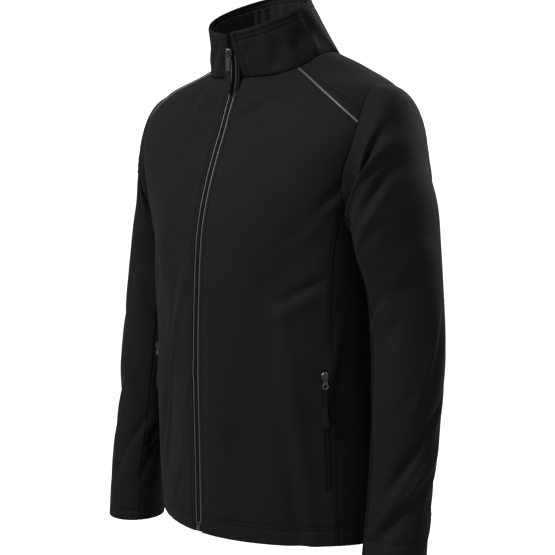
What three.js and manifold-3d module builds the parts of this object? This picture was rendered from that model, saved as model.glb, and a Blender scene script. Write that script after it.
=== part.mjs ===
// A men's softshell jacket, size M, worn and closed, with no wearer inside.
// Millimetres. Z = 0 is the level of the side neck points, +Z up, the front faces -Y
// and the wearer's left is +X. Every panel is a cloth wall on one body, collar or sleeve form.
import * as THREE from "three";
import { mergeVertices } from "three/addons/utils/BufferGeometryUtils.js";
import Module from "manifold-3d";

const wasm = await Module();
wasm.setup();

// Cloth and seams
const CLOTH = 1.6;
const LINING_CLOTH = 1.0;
const EDGE_TRIM = 0.2;
const REST_GAP = 0.3;

// Body form
const HEM_Z = -664;
const BODY_RINGS = [
  // z, half width, front depth, back depth, centre y, squareness of the front
  [-664, 202, 157, 122, 0, -0.045],
  [-560, 201, 158, 116, 0, -0.04],
  [-430, 199, 160, 112, 2, -0.02],
  [-300, 199, 156, 114, 4, 0.03],
  [-232, 203, 149, 115, 5, 0.06],
  [-170, 208, 132, 110, 6, 0.15],
  [-108, 213, 108, 98, 8, 0.21],
  [-55.5, 204, 88, 78, 10, 0.08],
  [-25, 148, 71, 62, 14, -0.1],
  [0, 86, 48, 46, 16, -0.1],
];
const BACK_SQUARENESS = 0.03;

// Seam lines of the body, as angle round the body from the zip and height
const NECKLINE = [
  // angle, z
  [0, -38],
  [20, -36],
  [40, -25],
  [65, -9],
  [90, -2],
  [130, -8],
  [180, -12],
];
const SIDE_FRONT_SEAM = [
  // z, angle
  [-664, 64.4],
  [-523, 63],
  [-447, 62],
  [-373, 60.2],
  [-300, 59.2],
  [-245, 59.3],
  [-200, 60.5],
];
const SIDE_BACK_SEAM = [
  // z, angle
  [-664, 117],
  [-430, 119],
  [-298, 121],
  [-200, 118],
];
const ARMHOLE = { z: -140, halfHeight: 92, frontAngle: 34, backAngle: 31, upperPower: 3, lowerPower: 2.7 };
const PIPING_LINE = [
  // angle, z, from the neckline to the armhole
  [39, -25.6],
  [40.4, -37.5],
  [41.3, -50.5],
  [44.1, -62.9],
  [47.6, -75],
  [51.6, -86.5],
  [57, -99.4],
];
const BACK_YOKE = { neckAngle: 128, armAngle: 117 };

// Largest soft folds of the body: a line from one place to another, its height (minus for a trough)
// and half width
const BODY_FOLDS = [
  // angle, z, angle, z, height, half width
  [14, -150, 30, -330, 3.5, 26],
  [30, -300, 22, -600, -5, 30],
  [50, -250, 34, -330, -4, 24],
  [44, -420, 40, -640, 4, 30],
  [150, -140, 175, -420, 4, 34],
  [140, -180, 160, -480, -4, 30],
  [128, -420, 134, -640, 4, 30],
];
const BODY_ARC = 3.4;

// Collar form
const COLLAR = { halfWidth: 78, halfDepth: 64, y: -38, frontZ: 21, backZ: 82, rise: 0.87, bow: -0.5 };

// Sleeve forms, each ring by its outer and inner point
const SLEEVE_LEFT = [
  // along, outer x, outer z, inner x, inner z, centre y, half depth
  [30, 229, -60, 208, -240, -8, 66],
  [65, 245, -92, 208, -248, -16, 70],
  [115, 260.5, -140, 207, -257, -25, 74],
  [175, 277, -195, 206, -268, -25, 74],
  [230, 284, -248, 205, -283, -21, 69],
  [285, 291, -302, 205, -320, -14, 58],
  [370, 299, -385, 205, -390, -11, 51],
  [455, 298, -467, 206, -467, -13, 49],
  [540, 294, -550, 206, -550, -17, 44],
  [620, 290, -630, 207, -630, -26, 44],
  [690, 293, -700, 207, -700, -35, 45],
];
const SLEEVE_RIGHT = [
  // along, outer x, outer z, inner x, inner z, centre y, half depth
  [30, 235, -60, 208, -240, -2, 64],
  [65, 248, -92, 208, -248, -6, 63],
  [115, 254, -140, 207, -257, -8, 62],
  [175, 261, -195, 206, -268, -8, 62],
  [230, 273, -248, 205, -283, -11, 60],
  [285, 286, -302, 205, -320, -14, 56],
  [370, 294, -385, 206, -390, -24, 51],
  [455, 299, -467, 209, -467, -33, 48],
  [540, 302, -550, 214, -550, -43, 44],
  [620, 306, -630, 221, -630, -51, 43],
  [707, 310, -718, 225, -718, -54, 45],
];
const SLEEVE_FOLDS = {
  // turn, along, turn, along, height, half width
  left: [
    [72, 72, -56, 83, -7.5, 12],
    [74, 95, -62, 104, 4.5, 9],
    [84, 112, 0, 166, -4.5, 12],
    [90, 250, 20, 300, -3, 18],
    [150, 380, 200, 440, 4, 18],
    [118, 470, 20, 560, -5, 16],
    [112, 505, 40, 590, 4, 14],
    [100, 560, 0, 640, -4.5, 15],
    [190, 560, 250, 620, 3.5, 16],
  ],
  right: [
    [30, 80, -30, 120, -4, 15],
    [120, 250, 60, 330, -3, 18],
    [10, 470, 80, 560, -5, 16],
    [60, 520, 120, 600, 4, 15],
    [-20, 480, -60, 540, -4, 15],
    [150, 400, 210, 460, 4, 18],
  ],
};
const SLEEVE_ARC = 0.95;
const SLEEVE_SEAMS = { left: { front: -26, back: 215 }, right: { front: -58, back: 215 } };

const cloth = (color) => ({ color, roughness: 0.85, metalness: 0 });
const SHELL = cloth(0x1b1b1d);
const SHADE = cloth(0x131315);
const TAPE_CLOTH = cloth(0x0f0f10);
const REFLECTIVE = { color: 0x8f9194, roughness: 0.45, metalness: 0.1 };
const METAL = { color: 0xb9bbbf, roughness: 0.3, metalness: 1 };
const RUBBER = { color: 0x161617, roughness: 0.6, metalness: 0 };

const radians = THREE.MathUtils.degToRad;
const lerp = THREE.MathUtils.lerp;

// A smooth function through the rows of a table: first column in, the chosen column out.
function through(rows, column) {
  const slope = (i) => {
    const low = Math.max(i - 1, 0);
    const high = Math.min(i + 1, rows.length - 1);
    return (rows[high][column] - rows[low][column]) / (rows[high][0] - rows[low][0]);
  };
  return (at) => {
    let i = 0;
    while (i < rows.length - 2 && at > rows[i + 1][0]) i += 1;
    const span = rows[i + 1][0] - rows[i][0];
    const t = THREE.MathUtils.clamp((at - rows[i][0]) / span, 0, 1);
    const start = rows[i][column];
    const end = rows[i + 1][column];
    const a = slope(i) * span;
    const b = slope(i + 1) * span;
    return start + t * (a + t * (3 * (end - start) - 2 * a - b + t * (2 * (start - end) + a + b)));
  };
}

const RING_COLUMNS = [1, 2, 3, 4, 5];
const ringCurves = RING_COLUMNS.map((column) => through(BODY_RINGS, column));
const [ringWidth, ringFront, ringBack, ringY, ringSquare] = ringCurves;
const necklineZ = through(NECKLINE, 1);
const sideFrontAngle = through(SIDE_FRONT_SEAM, 1);
const sideBackAngle = through(SIDE_BACK_SEAM, 1);

// Height of the soft folds at a place (u, v) of a form whose u runs the given millimetres a unit.
function foldHeight(folds, arc, u, v) {
  return folds.reduce((sum, [u0, v0, u1, v1, height, halfWidth]) => {
    const line = new THREE.Vector2((u1 - u0) * arc, v1 - v0);
    const at = new THREE.Vector2((u - u0) * arc, v - v0);
    const t = at.dot(line) / line.lengthSq();
    const side = Math.abs(at.cross(line)) / line.length();
    const ends = THREE.MathUtils.smoothstep(t, -0.2, 0.3) * (1 - THREE.MathUtils.smoothstep(t, 0.7, 1.2));
    return sum + height * ends * Math.exp(-((side / halfWidth) ** 2));
  }, 0);
}

// The body's outer surface: degrees round from the zip (positive to the wearer's left) and height.
function bodyPoint(angle, z) {
  const turn = radians(angle);
  const front = Math.cos(turn) > 0;
  const square = front ? ringSquare(z) : BACK_SQUARENESS;
  const reach = 1 + square * Math.sin(2 * turn) ** 2;
  const depth = front ? ringFront(z) + ringY(z) : ringBack(z) - ringY(z);
  const fromZip = 180 - Math.abs(180 - (Math.abs(angle) % 360));
  const fold = foldHeight(BODY_FOLDS, BODY_ARC, fromZip, z);
  return new THREE.Vector3(
    (ringWidth(z) * reach + fold) * Math.sin(turn),
    ringY(z) - (depth * reach + fold) * Math.cos(turn),
    z,
  );
}

// Surface point with its outward normal, for any form given as point(u, v).
function framed(form, u, v, stepU, stepV) {
  const alongU = form(u + stepU, v).sub(form(u - stepU, v));
  const alongV = form(u, v + stepV).sub(form(u, v - stepV));
  return { point: form(u, v), normal: alongU.cross(alongV).normalize() };
}
const bodyFrame = (angle, z) => framed(bodyPoint, angle, z, 0.2, 0.4);

// Angle of the armhole's front or back edge at a height, and its height at an angle.
function armholeAngle(z, back) {
  const rise = (z - ARMHOLE.z) / ARMHOLE.halfHeight;
  const power = rise > 0 ? ARMHOLE.upperPower : ARMHOLE.lowerPower;
  const share = Math.max(1 - Math.abs(rise) ** power, 0) ** (1 / power);
  return back ? 90 + ARMHOLE.backAngle * share : 90 - ARMHOLE.frontAngle * share;
}
function armholeZ(angle, below) {
  const power = below ? ARMHOLE.lowerPower : ARMHOLE.upperPower;
  const share = angle > 90 ? (angle - 90) / ARMHOLE.backAngle : (90 - angle) / ARMHOLE.frontAngle;
  const rise = ARMHOLE.halfHeight * Math.max(1 - share ** power, 0) ** (1 / power);
  return below ? ARMHOLE.z - rise : ARMHOLE.z + rise;
}

// A closed solid between an outer and an inner grid of points, grid[row][column].
function wallGeometry(outer, inner, round) {
  const rows = outer.length;
  const columns = outer[0].length;
  const positions = [...outer.flat(), ...inner.flat()].flatMap((p) => p.toArray());
  const faces = [];
  const id = (side, r, c) => side * rows * columns + r * columns + (c % columns);
  const quad = (a, b, c, d) => faces.push(a, b, c, a, c, d);
  const across = round ? columns : columns - 1;
  for (let r = 0; r < rows - 1; r += 1) {
    for (let c = 0; c < across; c += 1) {
      quad(id(0, r, c), id(0, r, c + 1), id(0, r + 1, c + 1), id(0, r + 1, c));
      quad(id(1, r, c), id(1, r + 1, c), id(1, r + 1, c + 1), id(1, r, c + 1));
    }
  }
  for (let c = 0; c < across; c += 1) {
    quad(id(0, 0, c + 1), id(0, 0, c), id(1, 0, c), id(1, 0, c + 1));
    quad(id(0, rows - 1, c), id(0, rows - 1, c + 1), id(1, rows - 1, c + 1), id(1, rows - 1, c));
  }
  for (let r = 0; r < rows - 1 && !round; r += 1) {
    quad(id(0, r, 0), id(0, r + 1, 0), id(1, r + 1, 0), id(1, r, 0));
    quad(id(0, r + 1, columns - 1), id(0, r, columns - 1), id(1, r, columns - 1), id(1, r + 1, columns - 1));
  }
  const geometry = new THREE.BufferGeometry();
  geometry.setAttribute("position", new THREE.Float32BufferAttribute(positions, 3));
  geometry.setIndex(faces);
  return faceOutwards(geometry);
}

// Turns every triangle round if the solid is inside out.
function faceOutwards(geometry) {
  const at = geometry.attributes.position;
  const index = geometry.index.array;
  const corner = (i) => new THREE.Vector3().fromBufferAttribute(at, index[i]);
  let volume = 0;
  for (let i = 0; i < index.length; i += 3) volume += corner(i).dot(corner(i + 1).cross(corner(i + 2)));
  if (volume < 0) {
    for (let i = 0; i < index.length; i += 3) [index[i], index[i + 1]] = [index[i + 1], index[i]];
  }
  return geometry;
}

const garment = new THREE.Group();
function add(name, geometry, material) {
  const mesh = new THREE.Mesh(geometry, new THREE.MeshStandardMaterial(material));
  mesh.name = name;
  garment.add(mesh);
  return mesh;
}

const steps = (count, from = 0, to = 1) => (
  Array.from({ length: count + 1 }, (_, i) => lerp(from, to, i / count))
);

// Draws the edges of a grid of points in towards their neighbours, so that panels stay apart at the seams.
function drawnIn(points, amount, round) {
  const shift = (point, towards) => towards.clone().sub(point).setLength(amount).add(point);
  const last = points.length - 1;
  const rows = points.map((row, r) => {
    if (r !== 0 && r !== last) return row;
    const next = points[r === 0 ? 1 : last - 1];
    return row.map((point, c) => shift(point, next[c]));
  });
  if (round) return rows;
  return rows.map((row) => {
    const end = row.length - 1;
    return [shift(row[0], row[1]), ...row.slice(1, end), shift(row[end], row[end - 1])];
  });
}

// A wall of cloth over a grid of framed points, between two depths under the surface.
function clothWall(name, material, grid, { top = 0, bottom = CLOTH, round = false, trim = EDGE_TRIM } = {}) {
  const level = (depth) => {
    const sunk = ({ point, normal }) => point.clone().addScaledVector(normal, -depth);
    const points = grid.map((row) => row.map(sunk));
    return trim > 0 ? drawnIn(points, trim, round) : points;
  };
  return add(name, wallGeometry(level(top), level(bottom), round), material);
}

// Depths of a layer of some thickness lying on a surface.
const lyingOn = (thick, trim = EDGE_TRIM) => ({ top: -REST_GAP - thick, bottom: -REST_GAP, trim });

// The right-hand piece of a pair is the left one seen in a mirror across the zip.
const mirrorCell = ({ point, normal }) => ({
  point: new THREE.Vector3(-point.x, point.y, point.z),
  normal: new THREE.Vector3(-normal.x, normal.y, normal.z),
});
const mirrored = (grid) => grid.map((row) => row.map(mirrorCell).reverse());
const SIDES = [["left", (grid) => grid], ["right", mirrored]];

// Front panels: zip edge to side-front seam and armhole, hem to neckline and piping
const FRONT_EDGE = 6.5;
const FRONT_NECK_COLUMNS = 5;
const YOKE_COLUMNS = 7;
const ROWS_BELOW_ARMHOLE = 16;
const ROWS_BESIDE_ARMHOLE = 5;
const [PIPING_NECK_ANGLE, PIPING_NECK_Z] = PIPING_LINE[0];
const PIPING_ARM_ANGLE = PIPING_LINE.at(-1)[0];
const PIPING_ARM_Z = armholeZ(PIPING_ARM_ANGLE, false);
const pipingZ = through([...PIPING_LINE.slice(0, -1), [PIPING_ARM_ANGLE, PIPING_ARM_Z]], 1);
const JOIN_Z = SIDE_FRONT_SEAM.at(-1)[0];

// Row levels of a panel that passes the armhole, shared with the side panel below it.
function panelLevels(armTopZ) {
  const join = (JOIN_Z - HEM_Z) / (armTopZ - HEM_Z);
  return [...steps(ROWS_BELOW_ARMHOLE, 0, join), ...steps(ROWS_BESIDE_ARMHOLE, join, 1).slice(1)];
}
const zipEdgeAngle = (z, reach = FRONT_EDGE) => THREE.MathUtils.radToDeg(reach / ringWidth(z));
function frontOuterAngle(z) {
  if (z > PIPING_ARM_Z) return PIPING_ARM_ANGLE;
  return z > JOIN_Z ? armholeAngle(z, false) : sideFrontAngle(z);
}
function frontGrid() {
  const start = zipEdgeAngle(NECKLINE[0][1]);
  const neckShare = (PIPING_NECK_ANGLE - start) / (PIPING_ARM_ANGLE - start);
  const shares = [...steps(FRONT_NECK_COLUMNS, 0, neckShare), ...steps(YOKE_COLUMNS, neckShare, 1).slice(1)];
  return panelLevels(PIPING_ARM_Z).map((v) => shares.map((share) => {
    const topAngle = lerp(start, PIPING_ARM_ANGLE, share);
    const topZ = share <= neckShare ? necklineZ(topAngle) : pipingZ(topAngle);
    const z = lerp(HEM_Z, topZ, v);
    return bodyFrame(lerp(zipEdgeAngle(z), frontOuterAngle(z), share), z);
  }));
}

// Side panels: side-front seam to side-back seam, hem to the armhole's lower edge
const SIDE_COLUMNS = 8;
const SIDE_TOP_FRONT = armholeAngle(JOIN_Z, false);
const SIDE_TOP_BACK = armholeAngle(JOIN_Z, true);
function sideGrid() {
  return steps(ROWS_BELOW_ARMHOLE).map((v) => steps(SIDE_COLUMNS).map((share) => {
    const topZ = armholeZ(lerp(SIDE_TOP_FRONT, SIDE_TOP_BACK, share), true);
    const z = lerp(HEM_Z, topZ, v);
    return bodyFrame(lerp(sideFrontAngle(z), sideBackAngle(z), share), z);
  }));
}

// Back panel: side-back seam round to the other one, hem to the back yoke seams and the neckline
const BACK_NECK_COLUMNS = 6;
const BACK_NECK_Z = necklineZ(BACK_YOKE.neckAngle);
const BACK_ARM_Z = armholeZ(BACK_YOKE.armAngle, false);
const backYokeZ = (angle) => THREE.MathUtils.mapLinear(
  angle, BACK_YOKE.neckAngle, BACK_YOKE.armAngle, BACK_NECK_Z, BACK_ARM_Z,
);
function backOuterAngle(z) {
  if (z > BACK_ARM_Z) return BACK_YOKE.armAngle;
  return z > JOIN_Z ? armholeAngle(z, true) : sideBackAngle(z);
}
function backGrid() {
  const neckShare = (180 - BACK_YOKE.neckAngle) / (180 - BACK_YOKE.armAngle);
  const half = [...steps(BACK_NECK_COLUMNS / 2, 0, neckShare), ...steps(YOKE_COLUMNS, neckShare, 1).slice(1)];
  const shares = [...half.slice(1).reverse().map((s) => -s), ...half];
  return panelLevels(BACK_ARM_Z).map((v) => shares.map((share) => {
    const size = Math.abs(share);
    const topAngle = lerp(180, BACK_YOKE.armAngle, size);
    const topZ = size <= neckShare ? necklineZ(topAngle) : backYokeZ(topAngle);
    const z = lerp(HEM_Z, topZ, v);
    return bodyFrame(180 + share * (180 - backOuterAngle(z)), z);
  }));
}

// Shoulder yokes: front piping over the shoulder to the back yoke seam, neckline to armhole
const YOKE_ROWS = 9;
function yokeGrid() {
  return steps(YOKE_ROWS).map((over) => steps(YOKE_COLUMNS).map((out) => {
    const neckAngle = lerp(PIPING_NECK_ANGLE, BACK_YOKE.neckAngle, over);
    const armAngle = lerp(PIPING_ARM_ANGLE, BACK_YOKE.armAngle, over);
    const straightZ = lerp(PIPING_NECK_Z, PIPING_ARM_Z, out);
    const frontSag = pipingZ(lerp(PIPING_NECK_ANGLE, PIPING_ARM_ANGLE, out)) - straightZ;
    const z = lerp(necklineZ(neckAngle), armholeZ(armAngle, false), out) + frontSag * (1 - over);
    return bodyFrame(lerp(neckAngle, armAngle, out), z);
  }));
}

const frontPanel = frontGrid();
for (const [side, place] of SIDES) {
  clothWall(`front_${side}`, SHELL, place(frontPanel));
  clothWall(`side_panel_${side}`, SHADE, place(sideGrid()));
  clothWall(`yoke_${side}`, SHELL, place(yokeGrid()));
}
clothWall("back", SHELL, backGrid());

// Collar: a standing wall from the neckline to the rim
const collarRim = (angle) => {
  const turn = radians(angle);
  return new THREE.Vector3(
    COLLAR.halfWidth * Math.sin(turn),
    COLLAR.y - COLLAR.halfDepth * Math.cos(turn),
    lerp(COLLAR.frontZ, COLLAR.backZ, ((1 - Math.cos(turn)) / 2) ** COLLAR.rise),
  );
};
function collarPoint(angle, height) {
  const seam = bodyPoint(angle, necklineZ(180 - Math.abs(180 - angle)));
  const bow = COLLAR.bow * 4 * height * (1 - height);
  const turn = radians(angle);
  const outwards = new THREE.Vector3(Math.sin(turn), -Math.cos(turn), 0);
  return seam.lerp(collarRim(angle), height).addScaledVector(outwards, bow);
}
const COLLAR_COLUMNS = 40;
const COLLAR_ROWS = 4;
const collarFrame = (angle, height) => framed(collarPoint, angle, height, 0.3, 0.01);
// Angle of a line beside the zip on the collar: parallel up to the slider, then spreading.
const ZIP_CLOSED_HEIGHT = 0.58;
const ZIP_SPREAD = 3.5;
function collarEdge(height, reach = FRONT_EDGE) {
  const open = Math.max(height - ZIP_CLOSED_HEIGHT, 0) / (1 - ZIP_CLOSED_HEIGHT);
  const width = lerp(ringWidth(NECKLINE[0][1]), COLLAR.halfWidth, height);
  return THREE.MathUtils.radToDeg((reach + ZIP_SPREAD * open ** 1.5) / width);
}
function collarGrid(rows, from, to, skip) {
  const shares = steps(COLLAR_COLUMNS).slice(skip, COLLAR_COLUMNS + 1 - skip);
  return steps(rows, from, to).map((height) => shares.map((share) => {
    const start = collarEdge(height);
    return collarFrame(lerp(start, 360 - start, share), height);
  }));
}

clothWall("collar", SHELL, collarGrid(COLLAR_ROWS, 0.01, 1, 0));

const LINING_ROWS = 4;
const LINING_TOP = CLOTH + REST_GAP + 0.2;
const liningGrid = collarGrid(LINING_ROWS, 0.03, 0.97, 1);
clothWall("collar_lining", SHADE, liningGrid, { top: LINING_TOP, bottom: LINING_TOP + LINING_CLOTH });

// Sleeves: rings from the armhole to the cuff, cut in an upper and an under piece
const ARMHOLE_INSET = 1;
const UNDERARM_LIFT = 2.4;
function armholePoint(turnDegrees) {
  const turn = radians(turnDegrees);
  const power = Math.sin(turn) > 0 ? ARMHOLE.upperPower : ARMHOLE.lowerPower;
  const round = (value) => Math.sign(value) * Math.abs(value) ** (2 / power);
  const inset = 1 - ARMHOLE_INSET / ARMHOLE.halfHeight;
  const spread = Math.cos(turn) > 0 ? ARMHOLE.frontAngle : ARMHOLE.backAngle;
  const { point, normal } = bodyFrame(
    90 - spread * inset * round(Math.cos(turn)),
    ARMHOLE.z + ARMHOLE.halfHeight * inset * round(Math.sin(turn)),
  );
  return point.addScaledVector(normal, UNDERARM_LIFT * Math.sqrt(Math.max(-Math.sin(turn), 0)));
}

// Point of a sleeve: degrees round from the front over the outer side, and length down from the armhole.
function sleeveForm(rings, folds) {
  return (turnDegrees, along) => {
    const turn = radians(turnDegrees);
    const out = (1 + Math.sin(turn)) / 2;
    const round = [turnDegrees, turnDegrees - 360].map((at) => foldHeight(folds, SLEEVE_ARC, at, along));
    const fold = (round[0] + round[1]) * THREE.MathUtils.smoothstep(along, 0, 70);
    const start = armholePoint(turnDegrees);
    const rows = rings.map(([length, outerX, outerZ, innerX, innerZ, y, depth]) => [
      length, lerp(innerX, outerX, out), y - depth * Math.cos(turn), lerp(innerZ, outerZ, out),
    ]);
    const line = [[0, start.x, start.y, start.z], ...rows];
    return new THREE.Vector3(
      through(line, 1)(along) + fold * Math.sin(turn),
      through(line, 2)(along) - fold * Math.cos(turn),
      through(line, 3)(along),
    );
  };
}
const SLEEVE_ROWS = 26;
const UPPER_COLUMNS = 15;
const UNDER_COLUMNS = 6;
const SLEEVE_TRIM = 0.4;
const FRONT_SEAM_OPEN = 0.3;
const BACK_SEAM_OPEN = 0.8;
function sleeveGrid(form, columns, from, to, length) {
  return steps(SLEEVE_ROWS).map((v) => steps(columns).map((share) => (
    framed(form, lerp(from, to, share), lerp(0, length, v), 0.5, -0.5)
  )));
}

// A point between the points of a panel's grid, by row and column with fractions.
function onPanel(grid, row, column) {
  const r = Math.min(Math.floor(row), grid.length - 2);
  const c = Math.min(Math.floor(column), grid[0].length - 2);
  const blend = (key) => {
    const low = grid[r][c][key].clone().lerp(grid[r][c + 1][key], column - c);
    return low.lerp(grid[r + 1][c][key].clone().lerp(grid[r + 1][c + 1][key], column - c), row - r);
  };
  return { point: blend("point"), normal: blend("normal").normalize() };
}

// Whole row or column numbers between two places in a grid, with the places themselves.
function stations(from, to) {
  const inner = [];
  for (let i = Math.floor(from) + 1; i < to; i += 1) inner.push(i);
  return [from, ...inner, to];
}

// A strip lying on a panel, cut by its rows and columns and moved out.
const strip = (grid, rows, columns) => (
  stations(...rows).map((row) => stations(...columns).map((column) => onPanel(grid, row, column)))
);

// Cuff fastening: a strap round the back of the cuff, closing on a loop patch on its outer side
const CUFF_TAB = {
  bottomRow: 24.9, topRow: 25.85, strapFrom: 9.6, loopFrom: 6.1, apart: 0.1, thick: 1.6, loopThick: 0.9,
};

const SLEEVES = [["left", SLEEVE_LEFT, (grid) => grid], ["right", SLEEVE_RIGHT, mirrored]];
for (const [side, rings, place] of SLEEVES) {
  const form = sleeveForm(rings, SLEEVE_FOLDS[side]);
  const length = rings.at(-1)[0];
  const { front, back } = SLEEVE_SEAMS[side];
  const upper = sleeveGrid(form, UPPER_COLUMNS, front + FRONT_SEAM_OPEN, back - BACK_SEAM_OPEN, length);
  const under = sleeveGrid(form, UNDER_COLUMNS, back + BACK_SEAM_OPEN, front + 360 - FRONT_SEAM_OPEN, length);
  clothWall(`sleeve_upper_${side}`, SHELL, place(upper), { trim: SLEEVE_TRIM });
  clothWall(`sleeve_under_${side}`, SHADE, place(under), { trim: SLEEVE_TRIM });
  const cuffRows = [CUFF_TAB.bottomRow, CUFF_TAB.topRow];
  const strap = strip(upper, cuffRows, [CUFF_TAB.strapFrom, UPPER_COLUMNS]);
  const loop = strip(upper, cuffRows, [CUFF_TAB.loopFrom, CUFF_TAB.strapFrom - CUFF_TAB.apart]);
  clothWall(`cuff_strap_${side}`, SHELL, place(strap), lyingOn(CUFF_TAB.thick));
  clothWall(`cuff_loop_${side}`, SHADE, place(loop), lyingOn(CUFF_TAB.loopThick));
}

// Reflective piping on the seam between front and yoke
const PIPING_HALF_WIDTH = 1.7;
const PIPING_THICK = 0.8;
const PIPING_ENDS = 0.012;
function pipingGrid() {
  const along = steps(YOKE_COLUMNS).map((t) => THREE.MathUtils.clamp(t, PIPING_ENDS, 1 - PIPING_ENDS));
  const line = along.map((t) => {
    const angle = lerp(PIPING_NECK_ANGLE, PIPING_ARM_ANGLE, t);
    return bodyFrame(angle, pipingZ(angle));
  });
  return [-PIPING_HALF_WIDTH, 0, PIPING_HALF_WIDTH].map((offset) => line.map(({ point, normal }, i) => {
    const ahead = line[Math.min(i + 1, line.length - 1)].point;
    const behind = line[Math.max(i - 1, 0)].point;
    const across = normal.clone().cross(ahead.clone().sub(behind)).normalize();
    return { point: point.clone().addScaledVector(across, offset), normal };
  }));
}

// Main zip: a tape behind each front edge, and the closed chain between them up to the slider
const TAPE = { inner: 3.2, outer: 12, top: CLOTH + 0.5, bottom: CLOTH + 1.3, trim: 0 };
const CHAIN = { halfWidth: 2.8, top: 0.5, bottom: CLOTH + 1.4, trim: 0 };
const TAPE_TOP_HEIGHT = 0.97;
const zipTopZ = NECKLINE[0][1];
const zipLevels = panelLevels(PIPING_ARM_Z).slice(0, -1).map((v) => lerp(HEM_Z, zipTopZ, v));
const bodyZipRow = (z, reaches) => reaches.map((reach) => bodyFrame(zipEdgeAngle(z, reach), z));
const collarZipRow = (height, reaches) => (
  reaches.map((reach) => collarFrame(Math.sign(reach) * collarEdge(height, Math.abs(reach)), height))
);
function zipGrid(reaches, startZ, topHeight) {
  return [
    ...[startZ, ...zipLevels.slice(1)].map((z) => bodyZipRow(z, reaches)),
    bodyZipRow(zipTopZ - 0.2, reaches),
    ...steps(COLLAR_ROWS, 0.004, topHeight).map((height) => collarZipRow(height, reaches)),
  ];
}
for (const [side, place] of SIDES) {
  const tape = zipGrid([TAPE.inner, TAPE.outer], HEM_Z + 1, TAPE_TOP_HEIGHT);
  clothWall(`piping_${side}`, REFLECTIVE, place(pipingGrid()), lyingOn(PIPING_THICK, 0));
  clothWall(`zip_tape_${side}`, TAPE_CLOTH, place(tape), TAPE);
}
const CHAIN_START_Z = HEM_Z + 14;
const chainReaches = [-CHAIN.halfWidth, 0, CHAIN.halfWidth];
clothWall("zip_chain", TAPE_CLOTH, zipGrid(chainReaches, CHAIN_START_Z, ZIP_CLOSED_HEIGHT - 0.06), CHAIN);

// A frame of axes on a surface: x across, y up the surface, z out of it.
function axesOn({ point, normal }, up = new THREE.Vector3(0, 0, 1)) {
  const across = up.clone().cross(normal).normalize();
  const along = normal.clone().cross(across).normalize();
  return new THREE.Matrix4().makeBasis(across, along, normal).setPosition(point);
}

// A flat piece with rounded edges, from an outline of [x, y] points with its holes, centred on z = 0.
function plate(outline, thick, bevel, holes = []) {
  const shape = new THREE.Shape(outline.map(([x, y]) => new THREE.Vector2(x, y)));
  shape.holes = holes.map((hole) => new THREE.Path(hole.map(([x, y]) => new THREE.Vector2(x, y))));
  const geometry = new THREE.ExtrudeGeometry(shape, {
    depth: thick - 2 * bevel, bevelEnabled: bevel > 0, bevelThickness: bevel, bevelSize: bevel,
    bevelOffset: -bevel, bevelSegments: 1, steps: 1,
  });
  return geometry.translate(0, 0, bevel - thick / 2);
}
const roundLoop = (x, y, radius, count = 10) => steps(count).slice(1).map((t) => (
  [x + radius * Math.cos(2 * Math.PI * t), y + radius * Math.sin(2 * Math.PI * t)]
));

// Zip garage: a rounded flap beside the top of the zip on the wearer's right
const GARAGE = { bottom: 0.62, top: 0.985, narrow: 3, wide: 20, thick: 1.3, rows: 6, columns: 4 };
function garageGrid() {
  return steps(GARAGE.rows).map((up) => {
    const width = lerp(GARAGE.narrow, GARAGE.wide, Math.sqrt(up));
    const height = lerp(GARAGE.bottom, GARAGE.top, up);
    return steps(GARAGE.columns).map((share) => {
      const reach = FRONT_EDGE + width * share;
      return collarFrame(collarEdge(height, reach), height);
    });
  });
}
clothWall("zip_garage", SHELL, mirrored(garageGrid()), lyingOn(GARAGE.thick));

// Joins closed pieces into one.
function joined(geometries) {
  const solids = geometries.map((geometry) => {
    const bare = geometry.clone();
    ["normal", "uv"].forEach((key) => bare.deleteAttribute(key));
    const merged = mergeVertices(bare, 1e-4);
    const vertProperties = new Float32Array(merged.attributes.position.array);
    const triVerts = new Uint32Array(merged.index.array);
    return new wasm.Manifold(new wasm.Mesh({ numProp: 3, vertProperties, triVerts }));
  });
  const mesh = solids.reduce((all, solid) => all.add(solid)).getMesh();
  const geometry = new THREE.BufferGeometry();
  geometry.setAttribute("position", new THREE.Float32BufferAttribute(mesh.vertProperties, 3));
  geometry.setIndex([...mesh.triVerts]);
  return geometry;
}

// Slider: a shield, and on it a bridge through which the pull's crossbar passes
const SLIDER = { width: 9.4, height: 12, thick: 3.2, bevel: 0.7 };
const BRIDGE = { half: 4.2, rise: 4.1, leg: 1.1, inner: 2.9, width: 2.2, root: 0.9 };
const CROSSBAR_RISE = 1.6;
function sliderGeometry() {
  const w = SLIDER.width / 2;
  const h = SLIDER.height / 2;
  const shield = plate([
    [-w * 0.55, -h], [w * 0.55, -h], [w, -h * 0.35], [w, h * 0.55], [w * 0.45, h], [0, h * 0.8],
    [-w * 0.45, h], [-w, h * 0.55], [-w, -h * 0.35],
  ], SLIDER.thick, SLIDER.bevel);
  const { half, rise, leg, inner, width, root } = BRIDGE;
  const bridge = plate([
    [-half, -root], [-half, rise * 0.6], [-half * 0.6, rise],
    [half * 0.6, rise], [half, rise * 0.6], [half, -root],
    [half - leg, -root], [half - leg, inner * 0.7], [half * 0.5, inner], [-half * 0.5, inner],
    [leg - half, inner * 0.7], [leg - half, -root],
  ], width, 0.3);
  bridge.rotateY(Math.PI / 2).rotateX(Math.PI / 2).translate(0, 0, SLIDER.thick);
  return joined([shield.translate(0, 0, SLIDER.thick / 2), bridge]);
}

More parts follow.
